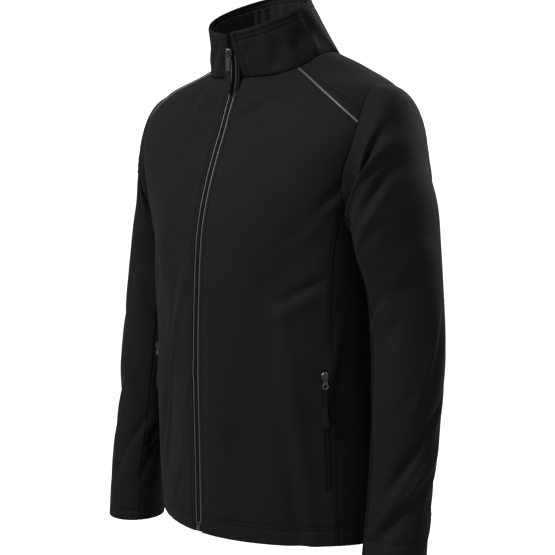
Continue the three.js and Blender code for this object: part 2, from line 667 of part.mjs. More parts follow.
// Pulls: each hangs from its crossbar and turns about it
const PULL_TAB = { length: 23.7, topWidth: 6.2, lowWidth: 7.4, thick: 1.4, holeHalf: 1.8, holeEnd: 5.6 };
const CROSSBAR_HALF = 0.75;
const crossbarHole = () => {
  const { holeHalf, holeEnd } = PULL_TAB;
  return [
    [-holeHalf, -CROSSBAR_HALF], [-holeHalf, -holeEnd],
    [holeHalf, -holeEnd], [holeHalf, -CROSSBAR_HALF],
  ];
};
function mainTab() {
  const { length, topWidth, lowWidth, thick } = PULL_TAB;
  return plate([
    [-lowWidth / 2, -length * 0.45], [-lowWidth / 2, -length], [lowWidth / 2, -length],
    [lowWidth / 2, -length * 0.45], [topWidth / 2, CROSSBAR_HALF], [-topWidth / 2, CROSSBAR_HALF],
  ], thick, 0.2, [crossbarHole()]);
}
const MAIN_GRIP = { top: -24, length: 30, topWidth: 8.6, lowWidth: 11, thick: 3.4 };
const POCKET_GRIP = { top: -40, length: 28, topWidth: 6, lowWidth: 12, thick: 3.2 };
function grip({ top, length, topWidth, lowWidth, thick }) {
  return plate([
    [-topWidth / 2, top], [-lowWidth / 2, top - length * 0.82], [-lowWidth * 0.36, top - length],
    [lowWidth * 0.36, top - length], [lowWidth / 2, top - length * 0.82], [topWidth / 2, top],
  ], thick, 0.8);
}

// Pocket pull: a crossbar end widening to a ring, then a stiff looped neck and a grip
const POCKET_RING = { y: -12.6, outer: 4.5, inner: 2.5, shoulder: 3, waist: 2.7 };
const ARC_STEPS = 10;
function pocketTab() {
  const { y, outer, inner, shoulder, waist } = POCKET_RING;
  const arc = steps(ARC_STEPS, 0.75, 2.25).map((t) => (
    [outer * Math.cos(t * Math.PI), y + outer * Math.sin(t * Math.PI)]
  ));
  return plate([
    [shoulder, CROSSBAR_HALF], [-shoulder, CROSSBAR_HALF], [-waist, -6.4], ...arc, [waist, -6.4],
  ], PULL_TAB.thick, 0.2, [crossbarHole(), roundLoop(0, y, inner)]);
}
const NECK = { top: -17.5, halfWidth: 1.1, thick: 1.8 };
function pocketNeck() {
  const end = POCKET_GRIP.top + REST_GAP;
  const { top, halfWidth, thick } = NECK;
  return plate([[-halfWidth, top], [-halfWidth, end], [halfWidth, end], [halfWidth, top]], thick, 0.4);
}

// Hangs pieces straight down from a pivot, their faces turned by an angle about the vertical.
function hang(pivot, turn, pieces) {
  for (const [name, geometry, material] of pieces) {
    const mesh = add(name, geometry, material);
    mesh.position.copy(pivot);
    mesh.rotation.set(Math.PI / 2, 0, turn, "ZYX");
  }
}

// Seats a slider on a surface and returns the pivot of its pull.
function seatSlider(name, frame) {
  const axes = axesOn(frame);
  add(name, sliderGeometry(), METAL).applyMatrix4(axes);
  return new THREE.Vector3(0, 0, SLIDER.thick + CROSSBAR_RISE).applyMatrix4(axes);
}
const mainPivot = seatSlider("main_slider", collarFrame(0, ZIP_CLOSED_HEIGHT));
hang(mainPivot, 0, [["main_pull_tab", mainTab(), METAL], ["main_pull_grip", grip(MAIN_GRIP), RUBBER]]);

// Foot of the main zip: the retaining box and the two pins in it
const FOOT = {
  boxRise: 5.2, boxHalf: 4, boxTall: 4, pinRise: 11.7, pinHalf: 1.1, pinTall: 2, pinX: 1.6,
  thick: 1.7, depth: -0.8, bevel: 0.3,
};
const blockOutline = (w, h, x = 0) => [[x - w, -h], [x + w, -h], [x + w, h], [x - w, h]];
function onZip(name, rise, outline) {
  const axes = axesOn(bodyFrame(0, HEM_Z + rise));
  const seat = new THREE.Matrix4().makeTranslation(0, 0, FOOT.depth);
  add(name, plate(outline, FOOT.thick, FOOT.bevel), METAL).applyMatrix4(axes.multiply(seat));
}
onZip("zip_foot_box", FOOT.boxRise, blockOutline(FOOT.boxHalf, FOOT.boxTall));
onZip("zip_foot_pin_left", FOOT.pinRise, blockOutline(FOOT.pinHalf, FOOT.pinTall, FOOT.pinX));
onZip("zip_foot_pin_right", FOOT.pinRise, blockOutline(FOOT.pinHalf, FOOT.pinTall, -FOOT.pinX));

// Pockets: a zip strip on the front panel just before its side seam, with a slider and a hanging pull
const POCKET = { bottomZ: -585, topZ: -422, near: 0.35, far: 1.5, thick: 1.2, sliderZ: -433 };
const panelRow = (z) => (z - HEM_Z) / ((JOIN_Z - HEM_Z) / ROWS_BELOW_ARMHOLE);
const POCKET_COLUMNS = frontPanel[0].length - 1;
const pocketRows = [panelRow(POCKET.bottomZ), panelRow(POCKET.topZ)];
const pocketColumns = [POCKET_COLUMNS - POCKET.far, POCKET_COLUMNS - POCKET.near];
const pocketStrip = strip(frontPanel, pocketRows, pocketColumns);
const sliderSeat = onPanel(frontPanel, panelRow(POCKET.sliderZ), (pocketColumns[0] + pocketColumns[1]) / 2);
for (const [side, place] of SIDES) {
  clothWall(`pocket_zip_${side}`, TAPE_CLOTH, place(pocketStrip), lyingOn(POCKET.thick, 0));
  const [[{ point, normal }]] = place([[sliderSeat]]);
  const lifted = point.clone().addScaledVector(normal, 2 * REST_GAP + POCKET.thick);
  const pivot = seatSlider(`pocket_slider_${side}`, { point: lifted, normal });
  hang(pivot, Math.atan2(normal.x, -normal.y), [
    [`pocket_pull_tab_${side}`, pocketTab(), METAL],
    [`pocket_pull_neck_${side}`, pocketNeck(), RUBBER],
    [`pocket_pull_grip_${side}`, grip(POCKET_GRIP), RUBBER],
  ]);
}

export default garment;
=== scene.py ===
"""A men's softshell jacket, closed and filled out as worn: cloth, stitching, zips and a plain studio."""

import bmesh
import bpy
import numpy as np
from mathutils import Matrix, Vector


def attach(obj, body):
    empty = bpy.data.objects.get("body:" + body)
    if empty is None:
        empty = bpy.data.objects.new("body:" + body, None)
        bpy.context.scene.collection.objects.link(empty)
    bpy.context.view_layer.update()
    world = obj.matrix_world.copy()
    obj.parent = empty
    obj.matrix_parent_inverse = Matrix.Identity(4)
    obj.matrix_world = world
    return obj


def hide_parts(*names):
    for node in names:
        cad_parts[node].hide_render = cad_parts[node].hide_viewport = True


bl_info = {
    "name": "Softshell Jacket",
    "version": (1, 0, 0),
    "blender": (4, 5, 0),
    "location": "3D View > Sidebar > Jacket",
    "description": "Makes the cloth, trims and studio of a worn softshell jacket",
    "category": "Object",
}

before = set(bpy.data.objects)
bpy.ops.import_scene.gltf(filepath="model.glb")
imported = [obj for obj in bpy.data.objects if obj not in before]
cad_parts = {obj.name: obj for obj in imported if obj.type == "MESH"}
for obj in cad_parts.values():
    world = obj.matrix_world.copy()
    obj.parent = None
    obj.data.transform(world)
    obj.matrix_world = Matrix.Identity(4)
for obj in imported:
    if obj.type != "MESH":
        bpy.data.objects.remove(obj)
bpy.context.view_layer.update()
MM = 0.001
WHOLE = "jacket"

# Forms, in millimetres and degrees: Z = 0 at the side neck points, the zip faces -Y, +X is the wearer's left

HEM_Z = -664
BODY_RINGS = (
    # z, half width, front depth, back depth, centre y, squareness of the front
    (-664, 202, 157, 122, 0, -0.045),
    (-560, 201, 158, 116, 0, -0.04),
    (-430, 199, 160, 112, 2, -0.02),
    (-300, 199, 156, 114, 4, 0.03),
    (-232, 203, 149, 115, 5, 0.06),
    (-170, 208, 132, 110, 6, 0.15),
    (-108, 213, 108, 98, 8, 0.21),
    (-55.5, 204, 88, 78, 10, 0.08),
    (-25, 148, 71, 62, 14, -0.1),
    (0, 86, 48, 46, 16, -0.1),
)
BACK_SQUARENESS = 0.03
NECKLINE = ((0, -38), (20, -36), (40, -25), (65, -9), (90, -2), (130, -8), (180, -12))  # angle, z
SIDE_FRONT_SEAM = (  # z, angle
    (-664, 64.4), (-523, 63), (-447, 62), (-373, 60.2), (-300, 59.2), (-245, 59.3), (-200, 60.5),
)
SIDE_BACK_SEAM = ((-664, 117), (-430, 119), (-298, 121), (-200, 118))  # z, angle
ARMHOLE_Z, ARMHOLE_HALF_HEIGHT, ARMHOLE_FRONT_ANGLE, ARMHOLE_BACK_ANGLE = -140, 92, 34, 31
ARMHOLE_UPPER_POWER, ARMHOLE_LOWER_POWER = 3, 2.7
PIPING_LINE = (  # angle, z, from the neckline to the armhole
    (39, -25.6), (40.4, -37.5), (41.3, -50.5), (44.1, -62.9), (47.6, -75), (51.6, -86.5), (57, -99.4),
)
BACK_YOKE_NECK_ANGLE, BACK_YOKE_ARM_ANGLE = 128, 117
JOIN_Z = SIDE_FRONT_SEAM[-1][0]
FRONT_EDGE = 6.5
PIPING_WIDTH = 3.2
POCKET_ENDS, POCKET_SHARES = (-585, -422), (0.923, 0.982)

COLLAR_HALF_WIDTH, COLLAR_HALF_DEPTH, COLLAR_Y = 78, 64, -38
COLLAR_FRONT_Z, COLLAR_BACK_Z, COLLAR_RISE, COLLAR_BOW = 21, 82, 0.87, -0.5
ZIP_CLOSED_HEIGHT, ZIP_SPREAD = 0.58, 3.5

SLEEVE_RINGS = {
    # along, outer x, outer z, inner x, inner z, centre y, half depth
    "left": (
        (30, 229, -60, 208, -240, -8, 66),
        (65, 245, -92, 208, -248, -16, 70),
        (115, 260.5, -140, 207, -257, -25, 74),
        (175, 277, -195, 206, -268, -25, 74),
        (230, 284, -248, 205, -283, -21, 69),
        (285, 291, -302, 205, -320, -14, 58),
        (370, 299, -385, 205, -390, -11, 51),
        (455, 298, -467, 206, -467, -13, 49),
        (540, 294, -550, 206, -550, -17, 44),
        (620, 290, -630, 207, -630, -26, 44),
        (690, 293, -700, 207, -700, -35, 45),
    ),
    "right": (
        (30, 235, -60, 208, -240, -2, 64),
        (65, 248, -92, 208, -248, -6, 63),
        (115, 254, -140, 207, -257, -8, 62),
        (175, 261, -195, 206, -268, -8, 62),
        (230, 273, -248, 205, -283, -11, 60),
        (285, 286, -302, 205, -320, -14, 56),
        (370, 294, -385, 206, -390, -24, 51),
        (455, 299, -467, 209, -467, -33, 48),
        (540, 302, -550, 214, -550, -43, 44),
        (620, 306, -630, 221, -630, -51, 43),
        (707, 310, -718, 225, -718, -54, 45),
    ),
}
SLEEVE_SEAMS = {"left": (-26, 215), "right": (-58, 215)}
CUFF_STITCH = {"left": 61, "right": 17}  # how far above the cuff edge its line is sewn
ARMHOLE_INSET, UNDERARM_LIFT = -0.3, 2.0

# Folds: from one place to another, height (minus for a trough), half width on each side of the line
BODY_ARC, SLEEVE_ARC, COLLAR_ARC, COLLAR_TALL = 3.4, 0.95, 1.35, 64
FINE_STRENGTH = 2.2
BODY_FOLDS = (
    (14, -150, 30, -330, 3.5, 26, 26),
    (30, -300, 22, -600, -5, 30, 30),
    (50, -250, 34, -330, -4, 24, 24),
    (44, -420, 40, -640, 4, 30, 30),
    (150, -140, 175, -420, 4, 34, 34),
    (140, -180, 160, -480, -4, 30, 30),
    (128, -420, 134, -640, 4, 30, 30),
)
FINE_BODY_FOLDS = (
    (4, -84, 36, -26, 1.8, 4, 7), (8, -96, 38, -40, -1.8, 5, 8), (20, -90, 38, -62, -0.8, 6, 9),
    (-13, -34, -18, -140, 1.5, 3, 5), (-17, -40, -26, -150, -1.2, 4, 8), (-10, -34, -3, -84, 1.1, 3, 5),
    (-7, -44, -4, -110, -1.0, 4, 6), (64, -150, 50, -215, -2.2, 10, 7), (60, -190, 46, -250, 1.4, 9, 12),
    (56, -215, 36, -262, -1.2, 9, 12), (38, -334, 58, -300, -2.2, 6, 9), (36, -352, 54, -322, 1.4, 6, 9),
    (30, -290, 50, -690, -2.2, 9, 16), (40, -330, 56, -690, 1.2, 9, 12), (12, -420, 16, -630, 1.2, 10, 14),
    (-5, -290, -32, -590, 1.7, 4, 7), (-12, -300, -38, -600, -1.5, 7, 10), (-2, -440, -20, -640, 1.4, 4, 6),
    (-4, -470, -24, -660, -1.2, 5, 7), (-10, -570, -26, -664, 1.2, 4, 6), (-36, -230, -44, -440, -1.6, 9, 14),
    (-62, -200, -52, -300, -1.6, 8, 12), (66, -360, 60, -480, 1.4, 6, 8),
    (80, -260, 86, -500, -2.2, 12, 16), (98, -300, 92, -560, 1.8, 12, 14),
    (-88, -280, -84, -560, -2, 12, 16), (124, -150, 140, -300, -2.4, 10, 16),
    (118, -200, 150, -330, 1.8, 10, 14), (-124, -150, -142, -300, -2.4, 10, 16),
    (-118, -190, -150, -320, 1.8, 10, 14), (176, -60, 178, -300, 1.4, 14, 18),
    (160, -330, 166, -620, -2, 14, 20), (-168, -380, -160, -630, 2, 14, 18),
    (140, -420, 146, -630, -2, 12, 18), (-136, -430, -140, -640, -2, 12, 18),
    (165, -40, 195, -44, -1.4, 6, 9), (150, -80, 130, -140, -1.4, 8, 12),
    (-150, -78, -132, -140, -1.4, 8, 12),
)
SLEEVE_FOLDS = {
    "left": (
        (72, 72, -56, 83, -7.5, 12, 12),
        (74, 95, -62, 104, 4.5, 9, 9),
        (84, 112, 0, 166, -4.5, 12, 12),
        (90, 250, 20, 300, -3, 18, 18),
        (150, 380, 200, 440, 4, 18, 18),
        (118, 470, 20, 560, -5, 16, 16),
        (112, 505, 40, 590, 4, 14, 14),
        (100, 560, 0, 640, -4.5, 15, 15),
        (190, 560, 250, 620, 3.5, 16, 16),
    ),
    "right": (
        (30, 80, -30, 120, -4, 15, 15),
        (120, 250, 60, 330, -3, 18, 18),
        (10, 470, 80, 560, -5, 16, 16),
        (60, 520, 120, 600, 4, 15, 15),
        (-20, 480, -60, 540, -4, 15, 15),
        (150, 400, 210, 460, 4, 18, 18),
    ),
}
FINE_SLEEVE_FOLDS = {
    "left": (
        (46, 80, -62, 87, -6.6, 12, 4), (52, 90, -60, 101, 2.8, 4, 6), (70, 105, 26, 115, -1.4, 4, 6),
        (84, 124, 22, 150, -1.8, 5, 6), (66, 140, 10, 184, 1.4, 6, 8), (20, 170, -34, 230, 0.8, 8, 9),
        (40, 196, -10, 214, -0.8, 7, 10), (130, 110, 170, 170, -1, 8, 12), (150, 100, 196, 150, 0.8, 8, 8),
        (14, 290, -30, 322, -2.2, 5, 8), (4, 306, -36, 352, 1.6, 5, 5), (34, 320, 0, 372, -1.2, 6, 9),
        (96, 236, 24, 284, 2, 16, 16), (114, 326, 58, 470, -1.8, 5, 9), (96, 340, 50, 470, 0.8, 7, 8),
        (20, 330, -20, 380, -0.8, 7, 10), (60, 420, 10, 470, -0.7, 7, 10),
        (116, 440, 6, 578, -2.6, 9, 5), (104, 470, 8, 596, 2.2, 5, 7), (108, 476, 48, 574, 1.6, 3, 4),
        (104, 540, 6, 628, -2.6, 9, 6), (34, 576, -28, 640, 1.8, 4, 5), (20, 584, -26, 616, -1.4, 5, 6),
        (140, 540, 90, 600, -1.2, 6, 9), (150, 590, 100, 640, 1.0, 6, 8), (60, 604, 30, 628, 1.0, 5, 6),
        (200, 300, 250, 360, -3, 9, 13), (190, 340, 250, 400, 2.4, 9, 10), (220, 420, 270, 480, -2.8, 9, 12),
        (230, 500, 280, 560, 2.4, 9, 10), (190, 460, 220, 540, -2, 8, 12), (-60, 420, -40, 520, -1.8, 8, 10),
    ),
    "right": (
        (20, 76, -40, 116, -2.6, 5, 8), (44, 90, -8, 130, -2.2, 5, 9), (34, 84, -14, 124, 1.8, 7, 6),
        (130, 110, 176, 170, -2.4, 8, 12), (100, 200, 60, 260, -1.6, 8, 11), (60, 330, 20, 400, -1.8, 7, 10),
        (-10, 300, -40, 380, 1.6, 7, 9), (-60, 540, 14, 655, -2.8, 5, 9), (-50, 560, 20, 662, 1.8, 5, 5),
        (0, 500, 50, 590, -2.0, 5, 9), (-100, 535, -66, 590, -3, 5, 9), (-104, 520, -70, 566, 1.8, 5, 5),
        (-90, 580, -50, 650, -1.6, 5, 8), (90, 590, 40, 645, -2.0, 5, 9), (200, 320, 250, 380, -2.8, 9, 13),
        (220, 440, 270, 500, -2.6, 9, 12), (150, 560, 110, 620, -1.8, 7, 10),
    ),
}
COLLAR_FOLDS = (  # angle, height as a share, the same again, height, half widths
    (24, 0.12, 44, 0.62, -3.2, 6, 9), (40, 0.1, 52, 0.7, 2.6, 6, 7), (48, 0.3, 74, 0.62, -3.4, 6, 9),
    (62, 0.05, 84, 0.5, 2.6, 5, 6), (76, 0.3, 92, 0.9, -2.6, 6, 9), (14, 0.5, 30, 0.8, -1.4, 5, 7),
    (-7, 0.62, -17, 0.05, 1.8, 3, 4), (-13, 0.75, -24, 0.05, -2.0, 4, 5), (-20, 0.8, -32, 0.2, 1.4, 4, 5),
    (-40, 0.2, -50, 0.9, 1.2, 6, 8), (110, 0.1, 116, 0.8, -1.2, 8, 12), (150, 0.1, 146, 0.9, 1.0, 8, 10),
    (190, 0.1, 196, 0.9, -1.2, 8, 12), (-120, 0.1, -112, 0.9, -1.2, 8, 12),
)


def through(rows, column):
    """A smooth function through a table, from its first column to the chosen one."""
    table = np.array(rows, float)
    at, value = table[:, 0], table[:, column]
    slope = np.empty_like(value)
    slope[1:-1] = (value[2:] - value[:-2]) / (at[2:] - at[:-2])
    slope[0] = (value[1] - value[0]) / (at[1] - at[0])
    slope[-1] = (value[-1] - value[-2]) / (at[-1] - at[-2])

    def curve(x):
        x = np.asarray(x, float)
        i = np.clip(np.searchsorted(at, x) - 1, 0, len(at) - 2)
        span = at[i + 1] - at[i]
        t = np.clip((x - at[i]) / span, 0, 1)
        start, end = value[i], value[i + 1]
        a, b = slope[i] * span, slope[i + 1] * span
        return start + t * (a + t * (3 * (end - start) - 2 * a - b + t * (2 * (start - end) + a + b)))

    return curve


def lerp(a, b, t):
    return a + (b - a) * t


def smooth(t, low=0.0, high=1.0):
    t = np.clip((t - low) / (high - low), 0, 1)
    return t * t * (3 - 2 * t)


def fold_height(folds, arc, u, v, tall=1.0):
    """Height of the folds at (u, v), where u runs arc mm a degree and v runs tall mm a unit."""
    total = np.zeros(np.broadcast(u, v).shape)
    for u0, v0, u1, v1, height, near, far in folds:
        line = np.array([(u1 - u0) * arc, (v1 - v0) * tall])
        length = np.hypot(*line)
        x, y = (u - u0) * arc, (v - v0) * tall
        t = (x * line[0] + y * line[1]) / length**2
        side = (x * line[1] - y * line[0]) / length
        ends = smooth(t, -0.2, 0.3) * (1 - smooth(t, 0.7, 1.2))
        width = np.where(side < 0, near, far)
        total = total + height * ends * np.exp(-((side / width) ** 2))
    return total


def folds_round(folds, arc, angle, v, turns=(0, 360), tall=1.0):
    """Height of the folds on a closed form, whose angle comes round again."""
    return sum(fold_height(folds, arc, angle + turn, v, tall) for turn in turns)


ring_width, ring_front, ring_back, ring_y, ring_square = (through(BODY_RINGS, c) for c in range(1, 6))
neckline_z = through(NECKLINE, 1)
side_front_angle = through(SIDE_FRONT_SEAM, 1)
side_back_angle = through(SIDE_BACK_SEAM, 1)


def body_point(angle, z, fine=True):
    """The body's outer surface, degrees round from the zip and height."""
    angle, z = np.broadcast_arrays(np.asarray(angle, float), np.asarray(z, float))
    turn = np.radians(angle)
    front = np.cos(turn) > 0
    square = np.where(front, ring_square(z), BACK_SQUARENESS)
    reach = 1 + square * np.sin(2 * turn) ** 2
    depth = np.where(front, ring_front(z) + ring_y(z), ring_back(z) - ring_y(z))
    round_angle = (angle + 180) % 360 - 180
    fold = fold_height(BODY_FOLDS, BODY_ARC, np.abs(round_angle), z)
    if fine:
        fold = fold + FINE_STRENGTH * folds_round(FINE_BODY_FOLDS, BODY_ARC, round_angle, z)
    x = (ring_width(z) * reach + fold) * np.sin(turn)
    y = ring_y(z) - (depth * reach + fold) * np.cos(turn)
    return np.stack([x, y, z], -1)


def framed(form, u, v, step_u, step_v):
    """Points of a form with their outward normals."""
    along_u = form(u + step_u, v) - form(u - step_u, v)
    along_v = form(u, v + step_v) - form(u, v - step_v)
    normal = np.cross(along_u, along_v)
    return form(u, v), normal / np.linalg.norm(normal, axis=-1, keepdims=True)


def body_frame(angle, z):
    return framed(body_point, np.asarray(angle, float), np.asarray(z, float), 0.2, 0.4)


def armhole_angle(z, back):
    rise = (z - ARMHOLE_Z) / ARMHOLE_HALF_HEIGHT
    power = np.where(rise > 0, ARMHOLE_UPPER_POWER, ARMHOLE_LOWER_POWER)
    share = np.maximum(1 - np.abs(rise) ** power, 0) ** (1 / power)
    return 90 + ARMHOLE_BACK_ANGLE * share if back else 90 - ARMHOLE_FRONT_ANGLE * share


def armhole_z(angle, below):
    power = ARMHOLE_LOWER_POWER if below else ARMHOLE_UPPER_POWER
    share = np.abs(angle - 90) / np.where(angle > 90, ARMHOLE_BACK_ANGLE, ARMHOLE_FRONT_ANGLE)
    rise = ARMHOLE_HALF_HEIGHT * np.maximum(1 - share**power, 0) ** (1 / power)
    return ARMHOLE_Z - rise if below else ARMHOLE_Z + rise


PIPING_NECK_ANGLE, PIPING_NECK_Z = PIPING_LINE[0]
PIPING_ARM_ANGLE = PIPING_LINE[-1][0]
PIPING_ARM_Z = float(armhole_z(PIPING_ARM_ANGLE, False))
piping_z = through(PIPING_LINE[:-1] + ((PIPING_ARM_ANGLE, PIPING_ARM_Z),), 1)
BACK_NECK_Z = float(neckline_z(BACK_YOKE_NECK_ANGLE))
BACK_ARM_Z = float(armhole_z(BACK_YOKE_ARM_ANGLE, False))


def even(low, high, nominal, share):
    """From low to high with a steady pace of nominal a unit near both ends."""
    return low + nominal * share + (high - low - nominal) * smooth(share, 0.05, 0.95)


def zip_edge_angle(z, reach=FRONT_EDGE):
    return np.degrees(reach / ring_width(z))


FRONT_TALL, SIDE_TALL, BACK_TALL = 600, 440, 610


def sided(angles):
    """Turns a panel's map of shares to (angle, z) into a place on the left (1) or the right (-1)."""
    def of_side(side):
        def place(share, up):
            angle, z = angles(share if side > 0 else 1 - share, up)
            return body_frame(side * angle, z)
        return place
    return of_side


@sided
def front_place(share, up):
    start = float(zip_edge_angle(NECKLINE[0][1]))
    top_angle = lerp(start, PIPING_ARM_ANGLE, share)
    top_z = np.where(top_angle <= PIPING_NECK_ANGLE, neckline_z(top_angle), piping_z(top_angle))
    z = even(HEM_Z, top_z, FRONT_TALL, up)
    beside = np.where(z > JOIN_Z, armhole_angle(z, False), side_front_angle(z))
    outer = np.where(z > PIPING_ARM_Z, PIPING_ARM_ANGLE, beside)
    return even(zip_edge_angle(z), outer, 58, share), z


@sided
def side_place(share, up):
    top_front, top_back = armhole_angle(JOIN_Z, False), armhole_angle(JOIN_Z, True)
    top_z = armhole_z(lerp(top_front, top_back, share), True)
    z = even(HEM_Z, top_z, SIDE_TALL, up)
    return lerp(side_front_angle(z), side_back_angle(z), share), z


@sided
def pocket_place(share, up):
    z = lerp(*POCKET_ENDS, up)
    return lerp(zip_edge_angle(z), side_front_angle(z), lerp(*POCKET_SHARES, share)), z


def back_place(share, up):
    across = share * 2 - 1
    size = np.abs(across)
    top_angle = lerp(180, BACK_YOKE_ARM_ANGLE, size)
    fall = (top_angle - BACK_YOKE_NECK_ANGLE) / (BACK_YOKE_ARM_ANGLE - BACK_YOKE_NECK_ANGLE)
    yoke_z = lerp(BACK_NECK_Z, BACK_ARM_Z, fall)
    top_z = np.where(top_angle >= BACK_YOKE_NECK_ANGLE, neckline_z(top_angle), yoke_z)
    z = even(HEM_Z, top_z, BACK_TALL, up)
    beside = np.where(z > JOIN_Z, armhole_angle(z, True), side_back_angle(z))
    outer = np.where(z > BACK_ARM_Z, BACK_YOKE_ARM_ANGLE, beside)
    return body_frame(180 + across * (180 - outer), z)


@sided
def yoke_place(out, over):
    neck_angle = lerp(PIPING_NECK_ANGLE, BACK_YOKE_NECK_ANGLE, over)
    arm_angle = lerp(PIPING_ARM_ANGLE, BACK_YOKE_ARM_ANGLE, over)
    sag = piping_z(lerp(PIPING_NECK_ANGLE, PIPING_ARM_ANGLE, out)) - lerp(PIPING_NECK_Z, PIPING_ARM_Z, out)
    z = lerp(neckline_z(neck_angle), armhole_z(arm_angle, False), out) + sag * (1 - over)
    return lerp(neck_angle, arm_angle, out), z


def piping_place(side):
    def place(share, along):
        def centre(t):
            angle = lerp(PIPING_NECK_ANGLE, PIPING_ARM_ANGLE, t)
            return body_frame(side * angle, piping_z(angle))
        along = lerp(0.012, 0.988, along)
        point, normal = centre(along)
        ahead = centre(along + 0.01)[0] - centre(along - 0.01)[0]
        across = np.cross(ahead, normal)
        across = across / np.linalg.norm(across, axis=-1, keepdims=True)
        return point + across * ((share - 0.5) * PIPING_WIDTH)[..., None], normal
    return place


def collar_point(angle, height):
    angle, height = np.broadcast_arrays(np.asarray(angle, float), np.asarray(height, float))
    seam = body_point(angle, neckline_z(180 - np.abs(180 - angle % 360)), fine=False)
    turn = np.radians(angle)
    rise = ((1 - np.cos(turn)) / 2) ** COLLAR_RISE
    rim = np.stack([
        COLLAR_HALF_WIDTH * np.sin(turn),
        COLLAR_Y - COLLAR_HALF_DEPTH * np.cos(turn),
        lerp(COLLAR_FRONT_Z, COLLAR_BACK_Z, rise),
    ], -1)
    around = (angle + 180) % 360 - 180
    fold = folds_round(COLLAR_FOLDS, COLLAR_ARC, around, height, tall=COLLAR_TALL)
    fold = fold * smooth(height, 0, 0.15) * (1 - smooth(height, 0.85, 1))
    out = COLLAR_BOW * 4 * height * (1 - height) + fold
    outwards = np.stack([np.sin(turn), -np.cos(turn), np.zeros_like(turn)], -1)
    return seam + (rim - seam) * height[..., None] + outwards * out[..., None]


def collar_frame(angle, height):
    return framed(collar_point, np.asarray(angle, float), np.asarray(height, float), 0.3, 0.01)


def collar_edge(height, reach=FRONT_EDGE):
    """Angle of a line beside the zip on the collar: parallel up to the slider, then spreading."""
    opened = np.maximum(height - ZIP_CLOSED_HEIGHT, 0) / (1 - ZIP_CLOSED_HEIGHT)
    width = lerp(float(ring_width(NECKLINE[0][1])), COLLAR_HALF_WIDTH, height)
    return np.degrees((reach + ZIP_SPREAD * opened**1.5) / width)


def collar_place(low=0.0, high=1.0):
    def place(share, up):
        height = lerp(low, high, up)
        start = collar_edge(height)
        return collar_frame(lerp(start, 360 - start, share), height)
    return place


def armhole_point(turn_degrees, side):
    turn = np.radians(turn_degrees)
    power = np.where(np.sin(turn) > 0, ARMHOLE_UPPER_POWER, ARMHOLE_LOWER_POWER)

    def rounded(value):
        return np.sign(value) * np.abs(value) ** (2 / power)

    inset = 1 - ARMHOLE_INSET / ARMHOLE_HALF_HEIGHT
    spread = np.where(np.cos(turn) > 0, ARMHOLE_FRONT_ANGLE, ARMHOLE_BACK_ANGLE)
    point, normal = body_frame(
        side * (90 - spread * inset * rounded(np.cos(turn))),
        ARMHOLE_Z + ARMHOLE_HALF_HEIGHT * inset * rounded(np.sin(turn)),
    )
    lifted = point + normal * (UNDERARM_LIFT * np.sqrt(np.maximum(-np.sin(turn), 0)))[..., None]
    return lifted * np.array([side, 1, 1])


def sleeve_form(side):
    rings = SLEEVE_RINGS[side]
    start_share = through([(0, 1)] + [(ring[0], 0) for ring in rings], 1)
    table = [(0,) * 7] + list(rings)
    outer_x, outer_z, inner_x, inner_z, middle_y, half_depth = (through(table, c) for c in range(1, 7))
    fine = [(*row[:4], row[4] * FINE_STRENGTH, *row[5:]) for row in FINE_SLEEVE_FOLDS[side]]
    folds = list(SLEEVE_FOLDS[side]) + fine

    def form(turn_degrees, along):
        turn_degrees, along = np.broadcast_arrays(np.asarray(turn_degrees, float), np.asarray(along, float))
        turn = np.radians(turn_degrees)
        out = (1 + np.sin(turn)) / 2
        fold = folds_round(folds, SLEEVE_ARC, turn_degrees, along, (360, 0, -360))
        fold = fold * smooth(along, 0, 70) * (1 - 0.6 * smooth(along, rings[-1][0] - 45, rings[-1][0] - 20))
        start = armhole_point(turn_degrees, 1 if side == "left" else -1) * start_share(along)[..., None]
        x = lerp(inner_x(along), outer_x(along), out) + fold * np.sin(turn)
        y = middle_y(along) - half_depth(along) * np.cos(turn) - fold * np.cos(turn)
        return start + np.stack([x, y, lerp(inner_z(along), outer_z(along), out)], -1)

    return form


def sleeve_place(side, under):
    form = sleeve_form(side)
    front, back = SLEEVE_SEAMS[side]
    length = SLEEVE_RINGS[side][-1][0]
    first, last = (back, front + 360) if under else (front, back)

    def place(share, down):
        return framed(form, lerp(first, last, share), length * down, 0.5, -0.5)

    return place


def mirrored(place):
    """The same piece seen in a mirror across the zip."""
    def other(share, up):
        point, normal = place(1 - share, up)
        flip = np.array([-1, 1, 1])
        return point * flip, normal * flip
    return other


def worn_on(side, place):
    return place if side == "left" else mirrored(place)


def part_of(place, shares, heights):
    return lambda share, up: place(lerp(*shares, share), lerp(*heights, up))


FRONT_LENGTH = NECKLINE[0][1] - HEM_Z
ZIP_BEND = 26  # how far from the collar seam the zip bends gently


